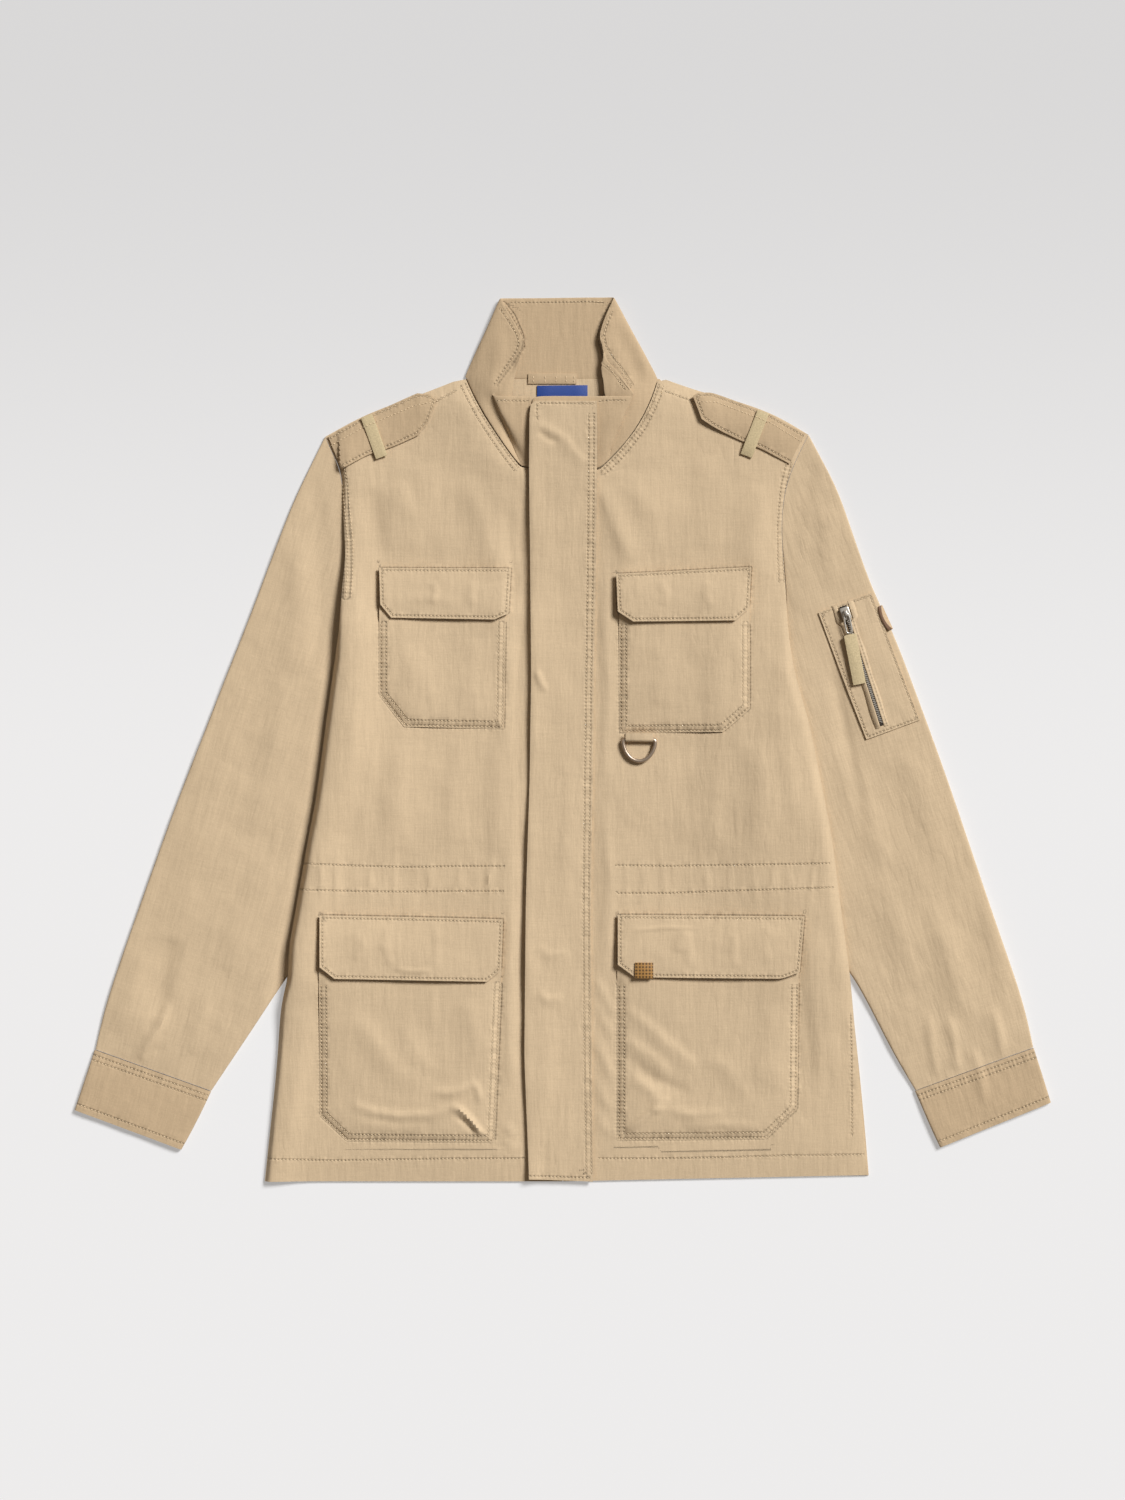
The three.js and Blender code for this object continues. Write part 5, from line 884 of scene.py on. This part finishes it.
    height = total(0.0, (rib.outputs["Fac"], 0.09), (fine, 0.2), (pucker, 3.8), (ladder, -0.12), (groove, -1.0),
                   (hole, -0.35), (soft, 0.6), (streak, 1.3), (crumple, -0.35))
    # The cloth's own tone comes from the broad, fine, thread, warp and streak terms; the groove, hole, pucker, ladder
    # and crumple terms are painted shade and light.
    shade = total(0.952, (broad, 0.08), (maths("SUBTRACT", fine, 0.5), 0.20), (maths("SUBTRACT", thread, 0.5), 0.15),
                  (maths("SUBTRACT", warp, 0.5), 0.15), (maths("SUBTRACT", streak, 0.5), 0.14), (groove, -0.24),
                  (hole, -0.2), (pucker, 0.42), (ladder, -0.015), (crumple, -0.02))
    painted = nodes.new("ShaderNodeMix")
    painted.data_type = "RGBA"
    painted.blend_type = "MULTIPLY"
    painted.inputs["Factor"].default_value = 1
    tint = nodes.new("ShaderNodeCombineColor")
    for slot in range(3):
        links.new(shade, tint.inputs[slot])
    links.new(begin.outputs["Cloth"], painted.inputs["A"])
    links.new(tint.outputs[0], painted.inputs["B"])
    links.new(painted.outputs["Result"], end.inputs["Color"])
    links.new(maths("ADD", maths("MULTIPLY", fine, 0.12), 0.84), end.inputs["Roughness"])
    links.new(height, end.inputs["Height"])
    return group


def cloth_material(name, colour, turn):
    found = bpy.data.materials.get(name)
    if found:
        return found
    material, tree = shader_nodes(name)
    shader = tree.nodes["Principled BSDF"]
    group = tree.nodes.new("ShaderNodeGroup")
    group.node_tree = twill_group()
    group.inputs["Cloth"].default_value = colour
    group.inputs["Turn"].default_value = (0, 0, turn)
    bump = tree.nodes.new("ShaderNodeBump")
    bump.inputs["Strength"].default_value = 0.75
    bump.inputs["Distance"].default_value = 0.0006
    tree.links.new(group.outputs["Color"], shader.inputs["Base Color"])
    tree.links.new(group.outputs["Roughness"], shader.inputs["Roughness"])
    tree.links.new(group.outputs["Height"], bump.inputs["Height"])
    tree.links.new(bump.outputs["Normal"], shader.inputs["Normal"])
    shader.inputs["Sheen Weight"].default_value = 0.12
    shader.inputs["Sheen Roughness"].default_value = 0.5
    shader.inputs["Specular IOR Level"].default_value = 0.18
    return material


def plain_material(name, colour, roughness, metallic=0.0, scale=400.0, depth=0.0002, strength=0.4, change=0.12):
    """A plain finish with a fine grain in its colour and surface."""
    found = bpy.data.materials.get(name)
    if found:
        return found
    material, tree = shader_nodes(name)
    shader = tree.nodes["Principled BSDF"]
    place = tree.nodes.new("ShaderNodeTexCoord")
    grain = tree.nodes.new("ShaderNodeTexNoise")
    grain.inputs["Scale"].default_value = scale
    grain.inputs["Detail"].default_value = 4
    tree.links.new(place.outputs["Object"], grain.inputs["Vector"])
    ramp = tree.nodes.new("ShaderNodeValToRGB")
    low = tuple(c * (1 - change) for c in colour[:3]) + (1,)
    high = tuple(min(1, c * (1 + change)) for c in colour[:3]) + (1,)
    ramp.color_ramp.elements[0].position = 0.3
    ramp.color_ramp.elements[1].position = 0.7
    ramp.color_ramp.elements[0].color = low
    ramp.color_ramp.elements[1].color = high
    tree.links.new(grain.outputs["Fac"], ramp.inputs["Fac"])
    tree.links.new(ramp.outputs["Color"], shader.inputs["Base Color"])
    bump = tree.nodes.new("ShaderNodeBump")
    bump.inputs["Strength"].default_value = strength
    bump.inputs["Distance"].default_value = depth
    tree.links.new(grain.outputs["Fac"], bump.inputs["Height"])
    tree.links.new(bump.outputs["Normal"], shader.inputs["Normal"])
    shader.inputs["Roughness"].default_value = roughness
    shader.inputs["Metallic"].default_value = metallic
    return material


def floor_material(stage):
    """A plain pale surface that darkens softly towards the far end as painted shade, and glows with painted light that
    washes out the shadows cast on it.
    """
    material, tree = shader_nodes("Floor")
    shader = tree.nodes["Principled BSDF"]
    place = tree.nodes.new("ShaderNodeTexCoord")
    parts = tree.nodes.new("ShaderNodeSeparateXYZ")
    tree.links.new(place.outputs["Object"], parts.inputs[0])
    # Painted shade: the colour darkens towards the far end.
    ramp = tree.nodes.new("ShaderNodeValToRGB")
    ramp.color_ramp.interpolation = "EASE"
    ramp.color_ramp.elements[0].position = 0.44
    ramp.color_ramp.elements[1].position = 0.98
    near = tuple(stage.floor)[:3]
    ramp.color_ramp.elements[0].color = near + (1,)
    ramp.color_ramp.elements[1].color = tuple(c * 0.82 for c in near) + (1,)
    spread = tree.nodes.new("ShaderNodeMapRange")
    spread.inputs["From Min"].default_value = -0.72
    spread.inputs["From Max"].default_value = 0.72
    tree.links.new(parts.outputs[1], spread.inputs["Value"])
    tree.links.new(spread.outputs["Result"], ramp.inputs["Fac"])
    tree.links.new(ramp.outputs["Color"], shader.inputs["Base Color"])
    # Painted light: the floor glows with its own colour.
    tree.links.new(ramp.outputs["Color"], shader.inputs["Emission Color"])
    shader.inputs["Emission Strength"].default_value = stage.glow
    shader.inputs["Roughness"].default_value = 0.9
    shader.inputs["Specular IOR Level"].default_value = 0.1
    return material


def twill(kind="body", side=None):
    """The cloth of the body, or of a sleeve or a cuff, whose grain is turned with it."""
    cloth = bpy.context.scene.jacket_cloth
    deep = kind in ("collar", "strap", "cuff")
    turn = {"right": SLEEVE_TURN, "left": -SLEEVE_TURN}.get(side, 0.0)
    name = f"Cloth {kind} {side}" if side else f"Cloth {kind}"
    return cloth_material(name, tuple(cloth.deep if deep else cloth.colour), turn)


def webbing():
    trim = bpy.context.scene.jacket_trim
    return plain_material("Webbing", tuple(trim.webbing), 0.88, scale=700, depth=0.0004, strength=0.6)


def ring_metal():
    trim = bpy.context.scene.jacket_trim
    return plain_material("Ring metal", tuple(trim.metal), 0.36, metallic=0.6, scale=250, depth=0.00008)


def zip_metal():
    trim = bpy.context.scene.jacket_trim
    return plain_material("Zip metal", tuple(trim.zip_metal), 0.36, metallic=0.8, scale=250, depth=0.00008)


def length_mask(tree, vector, low, high):
    """0 where a vector is shorter than low, 1 where it is longer than high."""
    away = tree.nodes.new("ShaderNodeVectorMath")
    away.operation = "LENGTH"
    tree.links.new(vector, away.inputs[0])
    mask = tree.nodes.new("ShaderNodeMapRange")
    mask.inputs["From Min"].default_value = low
    mask.inputs["From Max"].default_value = high
    tree.links.new(away.outputs["Value"], mask.inputs["Value"])
    return mask.outputs["Result"]


def paint_over(tree, mask, paint, under):
    """Mixes a second colour into the base colour; under names the mix's side that keeps the first."""
    shader = tree.nodes["Principled BSDF"]
    mixed = tree.nodes.new("ShaderNodeMix")
    mixed.data_type = "RGBA"
    mixed.inputs["A" if under == "B" else "B"].default_value = paint
    tree.links.new(mask, mixed.inputs["Factor"])
    tree.links.new(shader.inputs["Base Color"].links[0].from_socket, mixed.inputs[under])
    tree.links.new(mixed.outputs["Result"], shader.inputs["Base Color"])


def leather_material():
    """Leather with a plain grid of small pricked dots."""
    material = plain_material("Leather", tuple(bpy.context.scene.jacket_trim.leather), 0.55, scale=500, depth=0.0002)
    tree = material.node_tree
    place = tree.nodes.new("ShaderNodeTexCoord")
    cells = tree.nodes.new("ShaderNodeMapping")
    cells.inputs["Scale"].default_value = (1 / DOT_PITCH, 1 / DOT_PITCH, 0)
    tree.links.new(place.outputs["Object"], cells.inputs["Vector"])
    share = tree.nodes.new("ShaderNodeVectorMath")
    share.operation = "FRACTION"
    tree.links.new(cells.outputs["Vector"], share.inputs[0])
    centred = tree.nodes.new("ShaderNodeVectorMath")
    centred.operation = "SUBTRACT"
    centred.inputs[1].default_value = (0.5, 0.5, 0)
    tree.links.new(share.outputs["Vector"], centred.inputs[0])
    pricked = tuple(c * 0.25 for c in bpy.context.scene.jacket_trim.leather[:3]) + (1,)
    paint_over(tree, length_mask(tree, centred.outputs["Vector"], 0.26, 0.4), pricked, "B")
    return material


def badge_material():
    """The round badge: a dark rim round a paler middle."""
    trim = bpy.context.scene.jacket_trim
    material = plain_material("Badge", tuple(trim.badge), 0.6, scale=500, depth=0.0002)
    tree = material.node_tree
    x, y, radius = (value * MM for value in BADGE_CIRCLE)
    place = tree.nodes.new("ShaderNodeTexCoord")
    centred = tree.nodes.new("ShaderNodeMapping")
    centred.inputs["Location"].default_value = (-x, -y, 0)
    centred.inputs["Scale"].default_value = (1, 1, 0)
    tree.links.new(place.outputs["Object"], centred.inputs["Vector"])
    rim = length_mask(tree, centred.outputs["Vector"], radius - 1.5 * MM, radius - 1.0 * MM)
    paint_over(tree, rim, tuple(trim.badge_rim), "A")
    return material


class JACKET_OT_body(bpy.types.Operator):
    """Builds the back panel and the two fronts"""

    bl_idname = "jacket.body"
    bl_label = "Build body"

    def execute(self, context):
        detail = context.scene.jacket_cloth.detail
        back = soften("back_panel", "Back", detail - 1, back_shape, twill())
        close_neck(back)
        for side in ("right", "left"):
            shape = front_right_shape if side == "right" else body_shape
            ob = soften(f"front_{side}", f"Front_{side}", detail, shape, twill())
            if side == "right":
                push_side(ob)
        return {"FINISHED"}


class JACKET_OT_sleeves(bpy.types.Operator):
    """Builds the sleeves and their cuffs"""

    bl_idname = "jacket.sleeves"
    bl_label = "Build sleeves"

    def execute(self, context):
        detail = context.scene.jacket_cloth.detail
        for side in ("right", "left"):
            cloth = twill("sleeve", side)
            sleeve = soften(f"sleeve_{side}", f"Sleeve_{side}", detail, sleeve_shape, cloth, sharp=80)
            cuff = soften(f"cuff_{side}", f"Cuff_{side}", detail, sleeve_shape, twill("cuff", side), sharp=80)
        return {"FINISHED"}


class JACKET_OT_collar(bpy.types.Operator):
    """Builds the stand collar and the storm flap"""

    bl_idname = "jacket.collar"
    bl_label = "Build collar"

    def execute(self, context):
        detail = context.scene.jacket_cloth.detail
        collar = soften("collar", "Collar", detail, collar_shape, twill("collar"), sharp=72)
        smooth_wing(collar)
        placket = soften("placket", "Storm_flap", detail, placket_shape, twill())
        return {"FINISHED"}


class JACKET_OT_pockets(bpy.types.Operator):
    """Builds the four patch pockets and their flaps"""

    bl_idname = "jacket.pockets"
    bl_label = "Build pockets"

    def execute(self, context):
        detail = context.scene.jacket_cloth.detail
        for side in ("right", "left"):
            for kind in ("chest", "lower"):
                pocket = soften(
                    f"{kind}_pocket_{side}", f"{kind.title()}_pocket_{side}", detail, pocket_shape, twill())
                flap = soften(f"{kind}_flap_{side}", f"{kind.title()}_flap_{side}", detail, flap_shape, twill())
        return {"FINISHED"}


class JACKET_OT_shoulders(bpy.types.Operator):
    """Builds the epaulettes and the loops that hold them"""

    bl_idname = "jacket.shoulders"
    bl_label = "Build shoulders"

    def execute(self, context):
        detail = context.scene.jacket_cloth.detail
        for side in ("right", "left"):
            strap = soften(f"epaulette_{side}", f"Epaulette_{side}", detail, epaulette_shape, twill("strap"))
            node = f"epaulette_loop_{side}"
            loop = copy_node(node, f"Epaulette_loop_{side}")
            bpy.ops.object.mode_set(mode="OBJECT")
            bevel_piece(loop, 0.0004)
            finish_piece(loop, node, webbing())
            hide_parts(node)
        return {"FINISHED"}


def bevel_piece(ob, width, segments=2):
    """Softens a firm piece's edges."""
    modifier = ob.modifiers.new("Soft edges", "BEVEL")
    modifier.width = width
    modifier.segments = segments
    modifier.limit_method = "ANGLE"
    modifier.angle_limit = math.radians(40)
    bpy.context.view_layer.objects.active = ob
    bpy.ops.object.modifier_apply(modifier=modifier.name)


def hard_piece(node, name, material, width):
    """A firm piece on its frame node's form, with softened edges."""
    ob = copy_node(node, name)
    bpy.ops.object.mode_set(mode="OBJECT")
    bevel_piece(ob, width)
    finish_piece(ob, node, material, 35)
    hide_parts(node)
    return ob


def wire_piece(node, name, material, grow):
    """A bent wire on its frame node's form, rounded and brought back to its thickness."""
    ob = copy_node(node, name)
    bpy.ops.mesh.tris_convert_to_quads(face_threshold=0.9, shape_threshold=math.pi)
    bpy.ops.object.mode_set(mode="OBJECT")
    modifier = ob.modifiers.new("Round", "SUBSURF")
    modifier.levels = 2
    bpy.ops.object.modifier_apply(modifier=modifier.name)
    bpy.ops.object.mode_set(mode="EDIT")
    bpy.ops.mesh.select_all(action="SELECT")
    bpy.ops.transform.shrink_fatten(value=grow)
    bpy.ops.object.mode_set(mode="OBJECT")
    finish_piece(ob, node, material, 60)
    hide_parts(node)
    return ob


def surface_tree(names):
    """One search tree over several objects' triangles."""
    points, faces = [], []
    for name in names:
        mesh = bpy.data.objects[name].data
        start = len(points)
        points.extend(v.co.copy() for v in mesh.vertices)
        faces.extend([start + i for i in polygon.vertices] for polygon in mesh.polygons)
    return BVHTree.FromPolygons(points, faces)


def height_at(tree, x, y, low=False):
    """Height of the top surface at a place, or of the underside."""
    start = Vector((x, y, -0.02 if low else 0.05))
    hit = tree.ray_cast(start, Vector((0, 0, 1 if low else -1)))
    return hit[0].z if hit[0] else None


def mesh_piece(name, points, faces, material):
    """A piece of the jacket from its own points and faces."""
    mesh = bpy.data.meshes.new(name)
    mesh.from_pydata(points, [], faces)
    mesh.update()
    ob = bpy.data.objects.new(name, mesh)
    bpy.context.scene.collection.objects.link(ob)
    activate(ob)
    bpy.ops.object.shade_smooth()
    mesh.materials.append(material)
    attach(ob, "jacket")
    return ob


def stitch_points(line, step):
    """Pairs of ends of the stitches along a line."""
    ends = []
    length = sum(math.dist(a, b) for a, b in zip(line, line[1:]))
    count = max(1, int(length / step))

    def at(d):
        gone = 0.0
        for a, b in zip(line, line[1:]):
            span = math.dist(a, b)
            if d <= gone + span or b is line[-1]:
                t = (d - gone) / span
                return a[0] + (b[0] - a[0]) * t, a[1] + (b[1] - a[1]) * t
            gone += span
        return line[-1]

    settings = bpy.context.scene.jacket_cloth
    long = settings.stitch / MM
    for number in range(count):
        run = number * length / count
        ends.append((at(run), at(min(length, run + long))))
    return ends


def sew(name, trees_lines):
    """Sews the lines onto the surfaces with small separate stitches, joined as one mesh."""
    settings = bpy.context.scene.jacket_cloth
    half = settings.thread_width / 2
    step = (settings.stitch + settings.stitch_gap) / MM
    points, faces = [], []
    for tree, line, low in trees_lines:
        for (ax, ay), (bx, by) in stitch_points(line, step):
            za = height_at(tree, ax * MM, ay * MM, low)
            zb = height_at(tree, bx * MM, by * MM, low)
            if za is None or zb is None or abs(za - zb) > 0.003:
                continue
            out = -1 if low else 1
            a = Vector((ax * MM, ay * MM, za - out * half * 0.2))
            b = Vector((bx * MM, by * MM, zb - out * half * 0.2))
            along = (b - a).normalized()
            across = along.cross(Vector((0, 0, 1))).normalized() * half
            up = Vector((0, 0, out)) * half
            base = len(points)
            points.append(a)
            for share in (0.22, 0.78):
                mid = a.lerp(b, share) + up * 0.9
                points.extend((mid + across, mid + up * 0.8, mid - across, mid - up))
            points.append(b)
            last = base + 9
            order = ((base + 1, base + 2), (base + 2, base + 3), (base + 3, base + 4), (base + 4, base + 1))
            for p, q in order:
                fan = [(base, q, p), (p, q, q + 4, p + 4), (p + 4, q + 4, last)]
                faces.extend([tuple(reversed(f)) for f in fan] if low else fan)
    return mesh_piece(name, points, faces, thread_material())


def thread_material():
    return plain_material("Thread", tuple(bpy.context.scene.jacket_cloth.thread), 0.7, scale=900, depth=0.0001)


def rows_of(line, rows):
    """The rows of stitches along a line: none, one, or one on each side of it."""
    gap = bpy.context.scene.jacket_cloth.row_gap / MM
    if not rows:
        return []
    return [line] if rows == 1 else [inset_line(line, gap / 2, False), inset_line(line, -gap / 2, False)]


class JACKET_OT_stitching(bpy.types.Operator):
    """Sews every seam's rows of stitches"""

    bl_idname = "jacket.stitching"
    bl_label = "Sew"

    def execute(self, context):
        groups = {
            "Stitches_fronts": {"front_right": "Front_right", "front_left": "Front_left"},
            "Stitches_flap": {"placket": "Storm_flap"},
            "Stitches_pockets": {f"{k}_{p}_{s}": f"{k.title()}_{p}_{s}" for s in ("right", "left")
                                 for k in ("chest", "lower") for p in ("pocket", "flap")},
            "Stitches_shoulders": {f"epaulette_{s}": f"Epaulette_{s}" for s in ("right", "left")},
            "Stitches_collar": {"collar": "Collar", "hanger_loop": "Hanger_loop"},
            "Stitches_sleeves": {"cuff_right": "Cuff_right", "cuff_left": "Cuff_left",
                                 "sleeve_pocket": "Sleeve_pocket"},
        }
        covers = surface_tree([
            "Storm_flap", "Collar", "Epaulette_right", "Epaulette_left", "Epaulette_loop_right",
            "Epaulette_loop_left", "Front_right", "Front_left"])
        for group, members in groups.items():
            work = []
            for node, name in members.items():
                tree = covers if node.startswith("front") else surface_tree([name])
                for seam in piece_lines(node):
                    for line in rows_of(seam["line"], seam["rows"]):
                        work.append((tree, line, False))
            sew(group, work)
        back = surface_tree(["Back"])
        sew("Stitches_back", [(back, line, True) for seam in BODY_SEAMS["back_panel"]
                              for line in rows_of(seam["line"], seam["rows"])])
        return {"FINISHED"}


def on_zip(along, across):
    """A place on the sleeve pocket's zip, in metres, from millimetres down it and to its right."""
    return ((ZIP_TOP[0] + ZIP_HEADING[0] * along - ZIP_HEADING[1] * across) * MM,
            (ZIP_TOP[1] + ZIP_HEADING[1] * along + ZIP_HEADING[0] * across) * MM)


def zip_teeth():
    """Two rows of teeth down the zip, set onto its tape."""
    trim = bpy.context.scene.jacket_trim
    tape = surface_tree(["Zip_tape"])
    rows = []
    for side in (-1, 1):
        context_ready()
        x, y = on_zip(TEETH_SPAN[0] + (trim.tooth_pitch / MM / 2 if side > 0 else 0), side * TEETH_OFFSET)
        bpy.ops.mesh.primitive_cube_add(
            size=1, location=(x, y, 0.0003), scale=(TOOTH_WIDTH, trim.tooth_pitch * 0.5, TOOTH_HEIGHT),
            rotation=(0, 0, math.atan2(-ZIP_HEADING[0], -ZIP_HEADING[1]) + math.pi))
        row = bpy.context.object
        bpy.ops.object.transform_apply(location=True, rotation=True, scale=True)
        bevel_piece(row, 0.00018, 1)
        array = row.modifiers.new("Row", "ARRAY")
        array.count = int((TEETH_SPAN[1] - TEETH_SPAN[0]) * MM / trim.tooth_pitch)
        array.use_relative_offset = False
        array.use_constant_offset = True
        array.constant_offset_displace = (ZIP_HEADING[0] * trim.tooth_pitch, ZIP_HEADING[1] * trim.tooth_pitch, 0)
        bpy.ops.object.modifier_apply(modifier=array.name)
        rows.append(row)
    context_ready()
    for row in rows:
        row.select_set(True)
    bpy.context.view_layer.objects.active = rows[0]
    bpy.ops.object.join()
    teeth = rows[0]
    teeth.name = "Zip_teeth"
    for vertex in teeth.data.vertices:
        vertex.co.z += height_at(tape, vertex.co.x, vertex.co.y) or 0.0085
    teeth.data.materials.append(zip_metal())
    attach(teeth, "jacket")


def zip_lips():
    """Two folded edges of cloth that cover the zip tape up to its teeth."""
    below = surface_tree(["Zip_tape", "Sleeve_pocket", "Sleeve_left"])
    points, faces = [], []
    for side in (-1, 1):
        base = len(points)
        for step in range(LIP_STEPS + 1):
            along = LIP_SPAN[0] + (LIP_SPAN[1] - LIP_SPAN[0]) * step / LIP_STEPS
            inner = LIP_INNER + LIP_FLARE * (1 - float(smooth_step(along, 13, 19)))
            ends = min(1.0, (along - LIP_SPAN[0]) / 3, (LIP_SPAN[1] - along) / 3)
            wide = 5.2 + 0.5 * math.sin(along / 7 + side)
            for across, high in LIP_SECTION + ((wide, 0.32), (wide, -0.2), (0.2, -0.2)):
                x, y = on_zip(along, side * (inner + across))
                seat = height_at(below, x, y) or 0.008
                points.append(Vector((x, y, seat + high * MM * (max(ends, 0.05) if high > 0 else 1))))
        for step in range(LIP_STEPS):
            for k in range(7):
                a, b = base + step * 7 + k, base + step * 7 + (k + 1) % 7
                face = (a, b, b + 7, a + 7)
                faces.append(face if side < 0 else tuple(reversed(face)))
        first = tuple(base + k for k in range(7))
        last = tuple(base + LIP_STEPS * 7 + k for k in range(7))
        faces.append(tuple(reversed(first)) if side < 0 else first)
        faces.append(last if side < 0 else tuple(reversed(last)))
    lips = mesh_piece("Zip_lips", points, faces, twill("sleeve", "left"))
    activate(lips)
    bpy.ops.object.mode_set(mode="EDIT")
    bpy.ops.mesh.select_all(action="SELECT")
    bpy.ops.mesh.normals_make_consistent(inside=False)
    bpy.ops.object.mode_set(mode="OBJECT")
    move_cloth(lips, still, "zip_lips")
    return lips


def still(px, py, pz):
    """A surface without creases."""
    return np.zeros(px.shape)


class JACKET_OT_sleeve_pocket(bpy.types.Operator):
    """Builds the sleeve pocket with its zip and pull"""

    bl_idname = "jacket.sleeve_pocket"
    bl_label = "Build sleeve pocket"

    def execute(self, context):
        trim = context.scene.jacket_trim
        detail = context.scene.jacket_cloth.detail
        pocket = soften("sleeve_pocket", "Sleeve_pocket", detail, sleeve_shape, twill("sleeve", "left"))
        tape = plain_material("Zip tape", tuple(trim.tape), 0.9, scale=900, depth=0.0003)
        hard_piece("zip_tape", "Zip_tape", tape, 0.0003)
        zip_teeth()
        zip_lips()
        hard_piece("zip_slider", "Zip_slider", zip_metal(), 0.0009)
        hard_piece("zip_bridge", "Zip_bridge", zip_metal(), 0.0003)
        wire_piece("zip_pull_link", "Zip_pull_link", zip_metal(), 0.00012)
        hard_piece("zip_pull_tab", "Zip_pull_tab", webbing(), 0.0004)
        return {"FINISHED"}


def raise_with_flap(ob):
    """Lifts a piece that is sewn on a pocket flap by as much as the flap is lifted."""
    lift = bpy.context.scene.jacket_cloth.crease * MM
    for vertex in ob.data.vertices:
        vertex.co.z += lift * float(flap_rise(np.array([vertex.co.x / MM]), np.array([vertex.co.y / MM]))[0])


class JACKET_OT_trims(bpy.types.Operator):
    """Builds the D-ring, its webbing, the badge, the tab, the label and the hanger"""

    bl_idname = "jacket.trims"
    bl_label = "Build trims"

    def execute(self, context):
        trim = context.scene.jacket_trim
        wire_piece("dring", "D_ring", ring_metal(), 0.00022)
        hard_piece("dring_webbing", "D_ring_webbing", twill(), 0.0003)
        tab = hard_piece("flap_tab", "Leather_tab", leather_material(), 0.0004)
        raise_with_flap(tab)
        hard_piece("sleeve_badge", "Sleeve_badge", badge_material(), 0.0003)
        label = plain_material("Label", tuple(trim.label), 0.6, scale=900, depth=0.0002)
        hard_piece("neck_label", "Neck_label", label, 0.0002)
        hard_piece("hanger_loop", "Hanger_loop", twill("collar"), 0.0003)
        return {"FINISHED"}


class JACKET_OT_stage(bpy.types.Operator):
    """Sets the floor, the lights and the camera"""

    bl_idname = "jacket.stage"
    bl_label = "Set stage"

    def execute(self, context):
        stage = context.scene.jacket_stage
        context_ready()
        bpy.ops.mesh.primitive_plane_add(size=40, location=(0, 0, -0.0002))
        floor = context.object
        floor.name = "Floor"
        floor.data.materials.append(floor_material(stage))
        flat = math.cos(stage.key_rise)
        towards = Vector((flat * math.cos(stage.key_turn), flat * math.sin(stage.key_turn), math.sin(stage.key_rise)))
        bpy.ops.object.light_add(type="SUN", location=towards * 3)
        key = context.object
        key.name = "Key"
        key.data.energy = stage.key
        key.data.angle = stage.key_size
        key.rotation_mode = "QUATERNION"
        key.rotation_quaternion = towards.to_track_quat("Z", "Y")
        world = bpy.data.worlds.new("Studio")
        world.use_nodes = True
        world.node_tree.nodes["Background"].inputs["Color"].default_value = (1, 0.88, 0.74, 1)
        world.node_tree.nodes["Background"].inputs["Strength"].default_value = stage.sky
        context.scene.world = world
        bpy.ops.object.camera_add(location=(CAMERA_X, CAMERA_Y, stage.height), rotation=(0, 0, 0))
        camera = context.object
        camera.name = "Camera"
        camera.data.lens = stage.lens
        camera.data.sensor_width = 36
        camera.data.clip_start = 0.05
        camera.data.clip_end = 50
        context.scene.camera = camera
        context.scene.view_settings.view_transform = "Standard"
        return {"FINISHED"}


class JACKET_PT_panel(bpy.types.Panel):
    """Settings and steps of the jacket"""

    bl_idname = "JACKET_PT_panel"
    bl_label = "Safari jacket"
    bl_space_type = "VIEW_3D"
    bl_region_type = "UI"
    bl_category = "Jacket"

    def draw(self, context):
        layout = self.layout
        for group in (context.scene.jacket_cloth, context.scene.jacket_trim, context.scene.jacket_stage):
            box = layout.box()
            for key in group.__annotations__:
                box.prop(group, key)
        for step in STEPS:
            layout.operator(step.bl_idname)


STEPS = (
    JACKET_OT_body,
    JACKET_OT_sleeves,
    JACKET_OT_collar,
    JACKET_OT_pockets,
    JACKET_OT_shoulders,
    JACKET_OT_sleeve_pocket,
    JACKET_OT_trims,
    JACKET_OT_stitching,
    JACKET_OT_stage,
)
GROUPS = (JacketCloth, JacketTrim, JacketStage)
SETTINGS = {"jacket_cloth": JacketCloth, "jacket_trim": JacketTrim, "jacket_stage": JacketStage}


def register():
    for cls in GROUPS + STEPS + (JACKET_PT_panel,):
        bpy.utils.register_class(cls)
    for name, cls in SETTINGS.items():
        setattr(bpy.types.Scene, name, bpy.props.PointerProperty(type=cls))


def unregister():
    for name in SETTINGS:
        delattr(bpy.types.Scene, name)
    for cls in reversed(GROUPS + STEPS + (JACKET_PT_panel,)):
        bpy.utils.unregister_class(cls)


def main():
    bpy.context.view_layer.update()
    register()
    bpy.ops.jacket.body()
    bpy.ops.jacket.sleeves()
    bpy.ops.jacket.collar()
    bpy.ops.jacket.pockets()
    bpy.ops.jacket.shoulders()
    bpy.ops.jacket.sleeve_pocket()
    bpy.ops.jacket.trims()
    bpy.ops.jacket.stitching()
    bpy.ops.jacket.stage()


if __name__ == "__main__":
    main()
